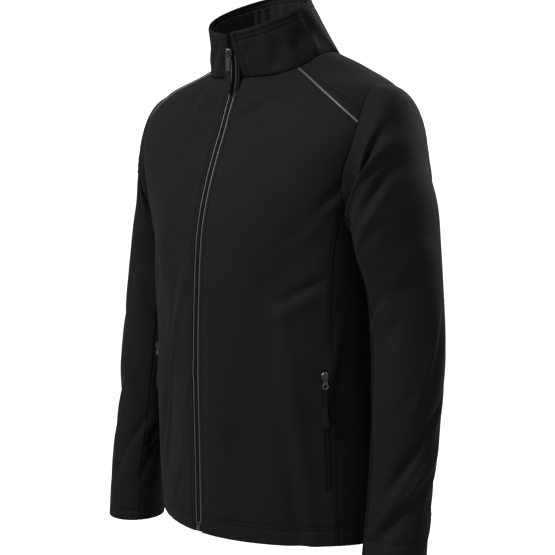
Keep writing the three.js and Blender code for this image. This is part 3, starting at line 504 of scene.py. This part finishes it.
def zip_place(low, high, start, top):
    """A strip between two distances from the zip's middle, up to a share of the collar's height."""
    body_length, collar_length = FRONT_LENGTH - start, COLLAR_TALL * top

    def angled(share, travelled):
        reach = lerp(low, high, share)
        sign, size = np.sign(reach), np.abs(reach)
        z = HEM_Z + start + np.minimum(travelled, body_length)
        height = np.maximum(travelled - body_length, 0) / COLLAR_TALL
        on_body = body_frame(sign * zip_edge_angle(z, size), z)
        on_collar = collar_frame(sign * collar_edge(height, size), height)
        above = (travelled > body_length)[..., None]
        return tuple(np.where(above, upper, lower) for lower, upper in zip(on_body, on_collar))

    def place(share, up):
        travelled = up * (body_length + collar_length)
        bend = min(ZIP_BEND, collar_length)
        t = np.clip((travelled - body_length) / (2 * bend) + 0.5, 0, 1)[..., None]
        before, after = (angled(share, body_length + np.zeros_like(travelled) + way) for way in (-bend, bend))
        eased = tuple(lerp(one, other, t * t * (3 - 2 * t)) for one, other in zip(before, after))
        straight = lerp(before[0], after[0], t)
        near = ((t > 0) & (t < 1)) * 0.75
        point, normal = angled(share, travelled)
        return lerp(point, straight, near * np.sin(np.pi * t) ** 0.5), lerp(normal, eased[1], near)

    return place


def garage_place(share, up):
    """The flap beside the top of the zip on the wearer's right, narrow below and wide at the rim."""
    height = lerp(0.6, 0.985, up)
    width = lerp(3, 14, np.sqrt(up))
    inner = lerp(3.5, -8, up**0.8)
    return collar_frame(-collar_edge(height, lerp(FRONT_EDGE + width, inner, share)), height)


def lip(width, count, rise):
    """Rounded lips side by side over a strip's width."""
    def relief(across, along):
        each = width / count
        offset = (across % each) / each * 2 - 1
        return rise * np.sqrt(np.maximum(1 - offset**2, 0))
    return relief


# Cloth shells

EDGES = ("low_u", "high_u", "low_v", "high_v")
SIDES = (("left", 1), ("right", -1))
EDGE_MARKS, BESIDE_LINE = (0, 0.9, 2, 4), 1.6
ROLL_REACH, PRESS_REACH = 1.7, 1.3


def pair(value):
    return value if isinstance(value, tuple) else (value, value)


def stations(length, step, low=(), high=()):
    """Shares along a side: close together at both edges and beside each sewn line, even between."""
    marks = [mark for close in EDGE_MARKS for mark in (close, length - close)]
    for line in (*low, *(length - distance for distance in high)):
        marks += [line - BESIDE_LINE, line, line + BESIDE_LINE]
    marks = sorted({round(m, 2) for m in marks if 0 <= m <= length})
    filled = [marks[0]]
    for mark in marks[1:]:
        if mark - filled[-1] < 0.5 and mark < length:
            continue
        count = max(1, round((mark - filled[-1]) / step))
        filled += list(np.linspace(filled[-1], mark, count + 1)[1:])
    return np.array(filled) / length


def roll_and_lines(distance, lines, roll, press):
    """How far an edge rolls under and its sewn lines press in, by distance from the edge."""
    depth = roll * np.exp(-((distance / ROLL_REACH) ** 2))
    for line in lines:
        depth = depth + press * np.exp(-(((distance - line) / PRESS_REACH) ** 2))
    return depth


def cloth_shell(name, place, width, height, step, lines, roll=0.6, press=0.6, lift=0.0, relief=None):
    """A single layer of cloth on a form. lines holds the distances of the sewn lines from each edge."""
    low_u, high_u, low_v, high_v = (lines.get(edge, ()) for edge in EDGES)
    (step_u, step_v), (roll_u, roll_v) = pair(step), pair(roll)
    across, up = stations(width, step_u, low_u, high_u), stations(height, step_v, low_v, high_v)
    bm = bmesh.new()
    bmesh.ops.create_grid(bm, x_segments=len(across) - 1, y_segments=len(up) - 1, size=1)
    bm.verts.index_update()
    column = np.array([round((v.co.x + 1) / 2 * (len(across) - 1)) for v in bm.verts])
    row = np.array([round((v.co.y + 1) / 2 * (len(up) - 1)) for v in bm.verts])
    share, rise = across[column], up[row]
    point, normal = place(share, rise)
    distances = (share * width, (1 - share) * width, rise * height, (1 - rise) * height)
    edges = zip(distances, (low_u, high_u, low_v, high_v), (roll_u, roll_u, roll_v, roll_v))
    depth = sum(roll_and_lines(distance, sewn, edge_roll, press) for distance, sewn, edge_roll in edges)
    if relief is not None:
        depth = depth - relief(share * width, rise * height)
    point = (point + normal * (lift - depth)[:, None]) * MM
    for vert, co in zip(bm.verts, point):
        vert.co = co
    uv = bm.loops.layers.uv.new("cloth")
    for face in bm.faces:
        face.smooth = True
        for loop in face.loops:
            i = loop.vert.index
            loop[uv].uv = (share[i] * width * MM, rise[i] * height * MM)
    bm.normal_update()
    bm.faces.ensure_lookup_table()
    middle = bm.faces[len(bm.faces) // 2]
    if middle.normal.dot(Vector(normal[middle.verts[0].index])) < 0:
        bmesh.ops.reverse_faces(bm, faces=bm.faces)
    return finished(name, bm)


def finished(name, bm):
    mesh = bpy.data.meshes.new(name)
    bm.to_mesh(mesh)
    bm.free()
    obj = bpy.data.objects.new(name, mesh)
    bpy.context.scene.collection.objects.link(obj)
    return obj


def thicken(obj, thickness):
    wall = obj.modifiers.new("cloth thickness", "SOLIDIFY")
    wall.thickness = thickness
    wall.offset = -1
    wall.use_even_offset = False


def dress(obj, finish, slot, nodes=()):
    """Gives a piece its material, its body and the nodes it stands for; its slot is not used."""
    obj.data.materials.append(finish)
    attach(obj, WHOLE)
    if nodes:
        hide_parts(*nodes)


def cut_of(place, count=40):
    """The widest row, the longest column and the area of a piece, in metres, as it lies on its form."""
    share, up = np.meshgrid(np.linspace(0, 1, count), np.linspace(0, 1, count))
    point = place(share.ravel(), up.ravel())[0].reshape(count, count, 3) * MM
    across, along = np.diff(point, axis=1), np.diff(point, axis=0)
    area = np.linalg.norm(np.cross(across[:-1], along[:, :-1]), axis=-1).sum()
    width = np.linalg.norm(across, axis=-1).sum(1).max()
    length = np.linalg.norm(along, axis=-1).sum(0).max()
    return (float(width), float(length)), float(min(area, width * length))


def sewn_piece(node, place, width, height, kind, lines, step, thickness=None, slot=None, **form):
    """A piece of cut cloth on its form: its wall, its finish, the node it stands for, and its cut measured on
    the form.
    """
    piece = cloth_shell(f"{node}_cloth", place, width, height, step, lines, **form)
    if thickness:
        thicken(piece, thickness)
    dress(piece, material(kind), slot or kind, [node])
    flat, area = cut_of(place)


def raised_strip(name, place, width, length, step, kind, lift, lips, rise, nodes=()):
    """A narrow strip of rounded lips, such as a zip's coil or a corded edge."""
    relief = lip(width, lips, rise)
    strip = cloth_shell(name, place, width, length, step, {}, roll=0, lift=lift, relief=relief)
    dress(strip, material(kind), kind, nodes)


# The cut pieces: node, place, width, height, cloth, and how far their sewn lines lie from each edge

HEM_LINES = (22, 28)
# The under sleeves take the shade cloth: the shell colour painted darker, a painted shade of the armpits
SLEEVE_PARTS = (("upper", False, 240, "shell"), ("under", True, 110, "shade"))  # part, under, width, cloth
CUFF_ROWS = (24.9 / 26, 25.85 / 26)
CUFF_PIECES = (
    # part, finish, shares of the upper sleeve's width, width, thickness
    ("strap", "shell", (9.6 / 15, 1), 62, 1.6),
    ("loop", "hook_and_loop", (6.1 / 15, 9.5 / 15), 40, 0.9),
)
CUFF_TALL, CUFF_LIFT, STRAP_LINE = 25, 0.4, 2.2
POCKET_WIDTH, POCKET_TALL = 12, 163
LINING_CLOTH, GARAGE_CLOTH, TAPE_CLOTH = 0.001, 0.0012, 0.0008  # metres


# Strips of the zip: distances from its middle, start above the hem, share of the collar's height
ZIP_CHAIN, ZIP_TAPE, ZIP_STRIPE = (-2.8, 2.8, 14, 0.53), (1.6, 12, 1, 0.97), (3.9, 5.3, 12, 0.5)


def beside_zip(side, low, high, start, top):
    return zip_place(*sorted((side * low, side * high)), start, top)


def body_panels():
    yield "back", back_place, 414, 640, "shell", {"low_v": HEM_LINES}
    for name, side in SIDES:
        near, far = ("low_u", "high_u") if side > 0 else ("high_u", "low_u")
        yield f"front_{name}", front_place(side), 208, 600, "shell", {near: (6,), "low_v": HEM_LINES}
        side_lines = {near: (5,), far: (5,), "low_v": HEM_LINES}
        # The side panels take the shade cloth: a painted shade of the sleeves falling on them
        yield f"side_panel_{name}", side_place(side), 196, 440, "shade", side_lines
        yield f"yoke_{name}", yoke_place(side), 120, 190, "shell", {"low_v": (7,)}


def sleeve_panels():
    for name, _ in SIDES:
        for part, under, width, kind in SLEEVE_PARTS:
            place = worn_on(name, sleeve_place(name, under))
            lines = {"high_v": (CUFF_STITCH[name],)}
            yield f"sleeve_{part}_{name}", place, width, SLEEVE_RINGS[name][-1][0], kind, lines


def collar_panel():
    return "collar", collar_place(), 470, 66, "shell", {"high_v": (6.5, 12), "low_u": (7,), "high_u": (7,)}


def pocket_seams():
    for name, side in SIDES:
        lines = {"low_u": (-2,), "high_u": (-2,)}
        yield f"pocket_{name}", pocket_place(side), POCKET_WIDTH, POCKET_TALL, "shell", lines


# Shader trees

WEAVE, HERRINGBONE = 0.0009, 0.0016  # metres


class Value:
    """A shader socket that can be used in sums, so that an expression adds its own Math nodes."""

    def __init__(self, tree, socket):
        self.tree = tree
        self.socket = socket

    def _math(self, operation, *others):
        inputs = dict(enumerate((self, *others)))
        return self.tree.node("ShaderNodeMath", {"operation": operation}, inputs)

    def __add__(self, other):
        return self._math("ADD", other)

    __radd__ = __add__

    def __mul__(self, other):
        return self._math("MULTIPLY", other)

    __rmul__ = __mul__

    def sine(self):
        return self._math("SINE")

    def absolute(self):
        return self._math("ABSOLUTE")


class Finish:
    """A material built node by node on one Principled shader."""

    def __init__(self, name):
        self.material = bpy.data.materials.new(name)
        self.material.use_nodes = True
        self.nodes = self.material.node_tree.nodes
        self.links = self.material.node_tree.links
        self.shader = self.nodes["Principled BSDF"]

    def node(self, kind, settings=None, inputs=None, output=0):
        made = self.nodes.new(kind)
        for key, value in (settings or {}).items():
            setattr(made, key, value)
        for key, value in (inputs or {}).items():
            self.feed(made.inputs[key], value)
        return Value(self, made.outputs[output])

    def feed(self, socket, value):
        if isinstance(value, Value):
            self.links.new(value.socket, socket)
        else:
            socket.default_value = value

    def set(self, **inputs):
        for key, value in inputs.items():
            self.feed(self.shader.inputs[key.replace("_", " ").title().replace("Ior", "IOR")], value)
        return self

    def noise(self, scale, detail=2.0, roughness=0.5):
        place = self.node("ShaderNodeTexCoord", output="Object")
        inputs = {"Vector": place, "Scale": scale, "Detail": detail, "Roughness": roughness}
        return self.node("ShaderNodeTexNoise", {}, inputs)

    def shades(self, share, colour, low, high):
        """The colour from one share of its brightness to another."""
        dark, light = ((*(part * factor for part in colour), 1) for factor in (low, high))
        return self.node("ShaderNodeMix", {"data_type": "RGBA"}, {0: share, 6: dark, 7: light}, 2)

    def ramp(self, value, low, high, to_low, to_high):
        return self.node("ShaderNodeMapRange", {}, dict(enumerate((value, low, high, to_low, to_high))))

    def bump(self, height, strength, distance, below=None):
        inputs = {"Height": height, "Strength": strength, "Distance": distance}
        if below is not None:
            inputs["Normal"] = below
        return self.node("ShaderNodeBump", {}, inputs)

    def raised(self, height, strength, distance, below=None):
        """The finished material, with its grain raised."""
        return self.set(normal=self.bump(height, strength, distance, below)).material

    def cloth_place(self):
        """The piece's own width and length coordinates, in metres."""
        uv = self.node("ShaderNodeUVMap", {"uv_map": "cloth"})
        return tuple(self.node("ShaderNodeSeparateXYZ", {}, {0: uv}, axis) for axis in (0, 1))


def softshell(name, colour, sheen=0.04):
    """A closely woven stretch face with a faint cross rib, matt, with a light nap."""
    cloth = Finish(name)
    across, along = cloth.cloth_place()
    thread = 2 * np.pi / WEAVE
    weave = (across * thread).sine() * (along * thread).sine()
    rib = ((across + along) * (thread * 0.5)).sine()
    fleck = cloth.noise(1400, 1)
    tone = cloth.noise(9, 3) * 0.5 + fleck * 0.35 + weave * 0.06 + 0.06
    cloth.set(
        base_color=cloth.shades(tone, colour, 0.72, 1.32), roughness=cloth.ramp(fleck, 0.3, 0.7, 0.7, 0.86),
        sheen_weight=sheen, sheen_roughness=0.42, sheen_tint=(0.75, 0.77, 0.8, 1), specular_ior_level=0.1,
    )
    lumps = cloth.bump(cloth.noise(55), 0.22, 0.0012)
    return cloth.raised(fleck * 0.6 + weave * 0.5 + rib * 0.25, 0.3, 0.0002, lumps)


def fleece(name, colour):
    pile = Finish(name)
    tuft = pile.noise(420, 3)
    pile.set(
        base_color=pile.shades(tuft, colour, 0.55, 1.5), roughness=0.95,
        sheen_weight=0.04, sheen_roughness=0.6, specular_ior_level=0.08,
    )
    return pile.raised(tuft, 0.7, 0.0008)


def zip_cloth(name, colour):
    """Woven zip tape with its fine herringbone."""
    tape = Finish(name)
    across, along = tape.cloth_place()
    bent = (across * (2 * np.pi / HERRINGBONE)).sine().absolute()
    zigzag = (bent * 2 + along * (4 * np.pi / HERRINGBONE)).sine()
    tape.set(
        base_color=tape.shades(zigzag * 0.5 + 0.5, colour, 0.7, 1.3), roughness=0.75,
        sheen_weight=0.02, sheen_roughness=0.5, specular_ior_level=0.15,
    )
    return tape.raised(zigzag, 0.35, 0.0002)


def silver_cord(name, colour):
    """Retroreflective silver-grey cloth: fine glass grain, satin."""
    cord = Finish(name)
    grain = cord.noise(2600, 1)
    cord.set(
        base_color=cord.shades(cord.noise(120, 3), colour, 0.82, 1.12), metallic=0.35,
        roughness=cord.ramp(grain, 0.3, 0.7, 0.32, 0.52),
    )
    return cord.raised(grain, 0.3, 0.0001)


def nickel(name, colour):
    metal = Finish(name)
    haze = metal.noise(900)
    metal.set(
        base_color=metal.shades(haze, colour, 0.9, 1.05), metallic=1.0,
        roughness=metal.ramp(haze, 0.3, 0.7, 0.34, 0.48),
    )
    return metal.raised(haze, 0.12, 0.0001)


def moulded(name, colour):
    rubber = Finish(name)
    grain = rubber.noise(1600)
    rubber.set(
        base_color=rubber.shades(grain, colour, 0.85, 1.2), specular_ior_level=0.3,
        roughness=rubber.ramp(grain, 0.3, 0.7, 0.42, 0.6),
    )
    return rubber.raised(grain, 0.25, 0.0002)


def hook_patch(name, colour):
    """Looped fastening tape: a dense tangle of short loops."""
    patch = Finish(name)
    loops = patch.noise(900, 4, 0.7)
    patch.set(
        base_color=patch.shades(loops * loops, colour, 0.6, 5.0), roughness=0.9,
        sheen_weight=0.6, sheen_roughness=0.5,
    )
    return patch.raised(loops, 1.0, 0.0008)


def thread_finish(name, colour):
    thread = Finish(name)
    twist = thread.noise(3000, 1)
    thread.set(base_color=thread.shades(twist, colour, 0.8, 1.3), roughness=0.75, specular_ior_level=0.12)
    return thread.raised(twist, 0.3, 0.0001)


def plain_white(name, glow):
    """Evenly lit white studio paper."""
    paper = Finish(name)
    paper.set(base_color=(0.9, 0.9, 0.9, 1), roughness=0.9)
    paper.set(emission_color=(1, 1, 1, 1), emission_strength=glow)
    return paper.material


MAKERS = {
    "shell": lambda s: softshell("softshell", s.shell_colour),
    # shade: the shell cloth with a darker colour and less sheen, a painted shade of the side panels, under
    # sleeves and pocket strips
    "shade": lambda s: softshell("softshell side", s.painted_shade_colour, 0.02),
    "lining": lambda s: fleece("collar fleece", s.lining_colour),
    "tape": lambda s: zip_cloth("zip tape", s.tape_colour),
    "reflective": lambda s: silver_cord("reflective silver", s.silver_colour),
    "metal": lambda s: nickel("bright nickel", s.nickel_colour),
    "rubber": lambda s: moulded("soft grip", s.grip_colour),
    "hook_and_loop": lambda s: hook_patch("loop patch", s.patch_colour),
    # The hairs are real loop pile, but their pale grey is partly a painted highlight: it stands for the white
    # glints of the pile
    "fuzz": lambda s: thread_finish("loop fuzz and glints", s.fuzz_and_glint_colour),
    "thread": lambda s: thread_finish("sewing thread", s.thread_colour),
    "floor": lambda s: plain_white("studio floor", 0.8),
    "backdrop": lambda s: plain_white("studio backdrop", 1.0),
}
made_materials = {}


def material(kind):
    if kind not in made_materials:
        made_materials[kind] = MAKERS[kind](bpy.context.scene.jacket)
    return made_materials[kind]


# Hardware that comes straight from the frame, sewing thread and loops

HARDWARE = {
    "main_slider": "metal", "main_pull_tab": "metal", "main_pull_grip": "rubber",
    "zip_foot_box": "metal", "zip_foot_pin_left": "metal", "zip_foot_pin_right": "metal",
    **{f"pocket_{part}_{side}": kind for side, _ in SIDES for part, kind in (
        ("slider", "metal"), ("pull_tab", "metal"), ("pull_neck", "rubber"), ("pull_grip", "rubber"))},
}
STITCH_GAP, STITCH_LIFT = 0.9, -0.2


def dress_hardware():
    for node, kind in HARDWARE.items():
        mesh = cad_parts[node].data
        mesh.materials.clear()
        mesh.materials.append(material(kind))


def surface_run(place, start, end, spacing, lift):
    """Points, normals and headings every so many millimetres along a line in a piece's own shares."""
    point, normal = place(*(np.linspace(low, high, 400) for low, high in zip(start, end)))
    travelled = np.concatenate([[0], np.cumsum(np.linalg.norm(np.diff(point, axis=0), axis=1))])
    stops = np.arange(spacing / 2, travelled[-1], spacing)
    at, out = (
        np.stack([np.interp(stops, travelled, line[:, k]) for k in range(3)], -1) for line in (point, normal)
    )
    return at + out * lift, out, np.gradient(at, axis=0)


def sew(bm, place, start, end, settings):
    """Lays separate stitches along a line."""
    spacing = settings.stitch_length / MM + STITCH_GAP
    radius = settings.thread_width / 2
    stretch = Matrix.Diagonal((1, 0.7, 1, 1))
    for point, normal, heading in zip(*surface_run(place, start, end, spacing, STITCH_LIFT)):
        along = Vector(heading).normalized()
        across = along.cross(Vector(normal)).normalized()
        turn = Matrix((across, across.cross(along), along)).transposed().to_4x4()
        bmesh.ops.create_cone(
            bm, cap_ends=True, segments=6, radius1=radius, radius2=radius, depth=settings.stitch_length,
            matrix=Matrix.Translation(Vector(point) * MM) @ turn @ stretch,
        )


def scatter_loops(bm, place, count, lift):
    """Short bent hairs standing all over a patch, with a fixed spread."""
    spread = np.random.default_rng(7)
    share, up = spread.uniform(0.02, 0.98, count), spread.uniform(0.03, 0.97, count)
    point, normal = place(share, up)
    lean = normal + spread.normal(0, 0.6, (count, 3))
    long = spread.uniform(0.9, 2.2, count)
    for at, way, out, length in zip(point, lean, normal, long):
        turn = Vector(way).to_track_quat("Z", "Y").to_matrix().to_4x4()
        base = (Vector(at) + Vector(out) * lift + Vector(way).normalized() * length * 0.4) * MM
        bmesh.ops.create_cone(
            bm, cap_ends=False, segments=4, radius1=0.00016, radius2=0.00008, depth=length * MM,
            matrix=Matrix.Translation(base) @ turn,
        )


def gathers(across, along):
    """Uneven upright gathers of a lining held in at its edges."""
    wave = np.sin(across / 2.4 + 1.4 * np.sin(across / 23)) + 0.7 * np.sin(across / 5.9 + 2)
    return -2.1 + 1.2 * wave * smooth(along, 0, 12)


def garage_puff(across, along):
    return 0.7 + 2.2 * np.sqrt(np.clip(across / 22, 0, 1)) * smooth(along, 0, 20)


# Sizes and colours a user would change


class JacketSettings(bpy.types.PropertyGroup):
    """Cloth, thread and colours of the jacket."""

    cloth_thickness: bpy.props.FloatProperty(
        name="Cloth thickness", description="Thickness of the bonded shell cloth", unit="LENGTH",
        default=0.0016, min=0.0005, max=0.003, precision=4)
    cloth_step: bpy.props.FloatProperty(
        name="Mesh step", description="Spacing of the mesh on the panels, in millimetres",
        default=5.0, min=2, max=20)
    stitch_length: bpy.props.FloatProperty(
        name="Stitch length", description="Length of one visible stitch", unit="LENGTH",
        default=0.0024, precision=4)
    thread_width: bpy.props.FloatProperty(
        name="Thread width", description="Thickness of the sewing thread", unit="LENGTH",
        default=0.0006, precision=4)
    loop_count: bpy.props.IntProperty(
        name="Loop hairs", description="How many hairs stand on each loop patch",
        default=700, min=0, max=4000)
    shell_colour: bpy.props.FloatVectorProperty(
        name="Shell", description="Colour of the shell cloth", subtype="COLOR",
        default=(0.0125, 0.0125, 0.013))
    # Painted shade: this darker colour of the side panels, under sleeves and pocket strips stands for the
    # shade of the sleeves and the pocket welts
    painted_shade_colour: bpy.props.FloatVectorProperty(
        name="Side panels", description="Shell colour painted darker as the shade on the side panels, under sleeves and pocket strips", subtype="COLOR",
        default=(0.0065, 0.0065, 0.0069))
    lining_colour: bpy.props.FloatVectorProperty(
        name="Collar lining", description="Colour of the collar's fleece lining", subtype="COLOR",
        default=(0.018, 0.018, 0.0185))
    tape_colour: bpy.props.FloatVectorProperty(
        name="Zip tape", description="Colour of the zip tape and coil", subtype="COLOR",
        default=(0.004, 0.004, 0.0043))
    silver_colour: bpy.props.FloatVectorProperty(
        name="Reflective trim", description="Colour of the reflective trim", subtype="COLOR",
        default=(0.15, 0.155, 0.16))
    nickel_colour: bpy.props.FloatVectorProperty(
        name="Nickel", description="Colour of the sliders and tabs", subtype="COLOR",
        default=(0.15, 0.15, 0.155))
    grip_colour: bpy.props.FloatVectorProperty(
        name="Pull grips", description="Colour of the moulded grips", subtype="COLOR",
        default=(0.004, 0.004, 0.0043))
    patch_colour: bpy.props.FloatVectorProperty(
        name="Loop patch", description="Colour of the cuff's loop patch", subtype="COLOR",
        default=(0.03, 0.03, 0.031))
    # Partly a painted highlight: the pale grey of the loop hairs stands for the white glints of the pile
    fuzz_and_glint_colour: bpy.props.FloatVectorProperty(
        name="Loop fuzz", description="Colour of the hairs on the loop patch", subtype="COLOR",
        default=(0.2, 0.2, 0.2))
    thread_colour: bpy.props.FloatVectorProperty(
        name="Thread", description="Colour of the sewing thread", subtype="COLOR",
        default=(0.004, 0.004, 0.0042))


class JACKET_OT_body(bpy.types.Operator):
    """Makes the front, side and back panels and the shoulder yokes"""

    bl_idname = "jacket.body"
    bl_label = "Body panels"

    def execute(self, context):
        settings = context.scene.jacket
        for panel in body_panels():
            sewn_piece(*panel, settings.cloth_step, settings.cloth_thickness)
        return {"FINISHED"}


class JACKET_OT_collar(bpy.types.Operator):
    """Makes the standing collar, its lining and the zip garage"""

    bl_idname = "jacket.collar"
    bl_label = "Collar"

    def execute(self, context):
        sewn_piece(*collar_panel(), 3.0, context.scene.jacket.cloth_thickness, roll=1.5, press=1.1)
        sewn_piece(
            "collar_lining", collar_place(0.03, 0.88), 455, 57, "lining", {}, 1.9, LINING_CLOTH,
            lift=-1.9, relief=gathers)
        sewn_piece(
            "zip_garage", garage_place, 22, 25, "shell", {"low_u": (2,)}, 1.2, GARAGE_CLOTH,
            press=0.3, relief=garage_puff)
        return {"FINISHED"}


class JACKET_OT_sleeves(bpy.types.Operator):
    """Makes the upper and under pieces of both sleeves"""

    bl_idname = "jacket.sleeves"
    bl_label = "Sleeves"

    def execute(self, context):
        settings = context.scene.jacket
        for panel in sleeve_panels():
            sewn_piece(*panel, settings.cloth_step, settings.cloth_thickness, roll=(1.2, 0.4))
        return {"FINISHED"}


class JACKET_OT_zip(bpy.types.Operator):
    """Makes the main zip's tapes, chain and reflective stripes, and the shoulder piping"""

    bl_idname = "jacket.zip"
    bl_label = "Zip and reflective trim"

    def execute(self, context):
        dress_hardware()
        length = FRONT_LENGTH + COLLAR_TALL
        raised_strip(
            "zip_chain_cloth", zip_place(*ZIP_CHAIN), 5.6, length - 40, (0.35, 8), "tape",
            -1.9, 2, 1.1, ["zip_chain"])
        for name, side in SIDES:
            sewn_piece(
                f"zip_tape_{name}", beside_zip(side, *ZIP_TAPE), 10.4, length, "tape", {}, (1.2, 8),
                TAPE_CLOTH, roll=0, lift=-2.1)
            raised_strip(
                f"zip_stripe_{name}", beside_zip(side, *ZIP_STRIPE), 1.4, length - 44, (0.3, 8), "reflective",
                -1.5, 1, 0.5)
            raised_strip(
                f"piping_{name}_cloth", piping_place(side), PIPING_WIDTH, 132, (0.4, 2.5), "reflective",
                -0.3, 1, 1.4, [f"piping_{name}"])
        return {"FINISHED"}


class JACKET_OT_pockets(bpy.types.Operator):
    """Makes the zipped pocket strips on both fronts"""

    bl_idname = "jacket.pockets"
    bl_label = "Pockets"

    def execute(self, context):
        for name, side in SIDES:
            # The pocket strips take the shade cloth: a painted shade of the pocket welt
            sewn_piece(
                f"pocket_zip_{name}", pocket_place(side), POCKET_WIDTH, POCKET_TALL, "shade", {}, (0.7, 4),
                slot="tape", roll=0.3, lift=0.4, relief=lip(POCKET_WIDTH, 2, 0.8))
        return {"FINISHED"}


class JACKET_OT_cuffs(bpy.types.Operator):
    """Makes the cuff straps and the fuzzy loop patches they close on"""

    bl_idname = "jacket.cuffs"
    bl_label = "Cuffs"

    def execute(self, context):
        for name, _ in SIDES:
            upper = sleeve_place(name, False)
            for part, kind, shares, width, thick in CUFF_PIECES:
                place = worn_on(name, part_of(upper, shares, CUFF_ROWS))
                lines = {edge: (STRAP_LINE,) for edge in EDGES} if part == "strap" else {}
                lift = CUFF_LIFT + thick
                sewn_piece(
                    f"cuff_{part}_{name}", place, width, CUFF_TALL, kind, lines, 2.0, thick * MM, lift=lift)
                if part == "loop":
                    fuzz = bmesh.new()
                    scatter_loops(fuzz, place, context.scene.jacket.loop_count, lift)
                    dress(finished(f"cuff_fuzz_{name}", fuzz), material("fuzz"), kind)
        return {"FINISHED"}


class JACKET_OT_stitching(bpy.types.Operator):
    """Sews the visible lines of stitches"""

    bl_idname = "jacket.stitching"
    bl_label = "Stitching"

    def execute(self, context):
        panels = (*body_panels(), *sleeve_panels(), *pocket_seams(), collar_panel())
        for node, place, width, height, _, lines in panels:
            bm = bmesh.new()
            for edge, distance in ((edge, distance) for edge in lines for distance in lines[edge]):
                upright = edge.endswith("u")
                at = distance / (width if upright else height)
                at = 1 - at if edge.startswith("high") else at
                ends = ((at, 0.01), (at, 0.99)) if upright else ((0.005, at), (0.995, at))
                sew(bm, place, *ends, context.scene.jacket)
            for face in bm.faces:
                face.smooth = True
            dress(finished(f"stitches_{node.replace('_panel', '')}", bm), material("thread"), "shell")
        return {"FINISHED"}


# Studio, in metres

FLOOR_Z, FLOOR_RADIUS, BACKDROP_RADIUS = -1.15, 6, 7
WORLD_LIGHT = 0.28
LAMPS = (
    # name, place, aim, size, power
    ("key", (-0.45, -2.5, 1.75), (0, 0, -0.25), 0.7, 60),
    ("fill", (1.8, -2.5, 0.9), (0, 0, -0.35), 1.2, 14),
    ("back", (0.15, 2.9, 1.2), (0, 0, -0.3), 1.1, 44),
)
CAMERA_PLACE, CAMERA_AIM = (1.2588, -1.2479, -0.1114), (0, 0, -0.33)
LENS, SENSOR_WIDTH = 80.05, 36  # millimetres
LENS_SHIFT = (-0.0009, 0.0115)


def aimed(name, data, place, aim):
    obj = bpy.data.objects.new(name, data)
    obj.location = place
    obj.rotation_euler = (Vector(aim) - Vector(place)).to_track_quat("-Z", "Y").to_euler()
    bpy.context.scene.collection.objects.link(obj)
    return obj


class JACKET_OT_stage(bpy.types.Operator):
    """Sets the floor, the soft lights and the camera at the photograph's angle"""

    bl_idname = "jacket.stage"
    bl_label = "Studio"

    def execute(self, context):
        room = {"floor": bmesh.new(), "backdrop": bmesh.new()}
        place = Matrix.Translation((0, 0, FLOOR_Z))
        bmesh.ops.create_circle(room["floor"], cap_ends=True, segments=96, radius=FLOOR_RADIUS, matrix=place)
        bmesh.ops.create_uvsphere(room["backdrop"], u_segments=64, v_segments=32, radius=BACKDROP_RADIUS)
        for name, bm in room.items():
            shown = finished(f"studio_{name}", bm)
            shown.data.materials.append(material(name))
            shown.visible_diffuse = shown.visible_glossy = shown.visible_shadow = False
        world = bpy.data.worlds.new("studio")
        world.use_nodes = True
        light = world.node_tree.nodes["Background"].inputs
        light["Color"].default_value = (1, 1, 1, 1)
        light["Strength"].default_value = WORLD_LIGHT
        context.scene.world = world
        for name, place, aim, size, power in LAMPS:
            lamp = bpy.data.lights.new(f"studio_{name}", "AREA")
            lamp.shape = "DISK"
            lamp.size = size
            lamp.energy = power
            aimed(f"studio_{name}", lamp, place, aim)
        lens = bpy.data.cameras.new("studio_camera")
        lens.lens = LENS
        lens.sensor_width = SENSOR_WIDTH
        lens.sensor_fit = "HORIZONTAL"
        lens.shift_x, lens.shift_y = LENS_SHIFT
        context.scene.camera = aimed("studio_camera", lens, CAMERA_PLACE, CAMERA_AIM)
        context.scene.view_settings.view_transform = "Standard"
        return {"FINISHED"}


class JACKET_PT_panel(bpy.types.Panel):
    """Lists the jacket's steps and settings"""

    bl_idname = "JACKET_PT_panel"
    bl_label = "Jacket"
    bl_space_type = "VIEW_3D"
    bl_region_type = "UI"
    bl_category = "Jacket"

    def draw(self, context):
        for step in STEPS:
            self.layout.operator(step.bl_idname)
        for name in JacketSettings.__annotations__:
            self.layout.prop(context.scene.jacket, name)


STEPS = (
    JACKET_OT_stage, JACKET_OT_body, JACKET_OT_collar, JACKET_OT_sleeves, JACKET_OT_zip, JACKET_OT_pockets,
    JACKET_OT_cuffs, JACKET_OT_stitching,
)
CLASSES = (JacketSettings, *STEPS, JACKET_PT_panel)


def register():
    for item in CLASSES:
        bpy.utils.register_class(item)
    bpy.types.Scene.jacket = bpy.props.PointerProperty(type=JacketSettings)


def unregister():
    del bpy.types.Scene.jacket
    for item in reversed(CLASSES):
        bpy.utils.unregister_class(item)


def main():
    register()
    bpy.ops.jacket.stage()
    bpy.ops.jacket.body()
    bpy.ops.jacket.collar()
    bpy.ops.jacket.sleeves()
    bpy.ops.jacket.zip()
    bpy.ops.jacket.pockets()
    bpy.ops.jacket.cuffs()
    bpy.ops.jacket.stitching()


if __name__ == "__main__":
    main()
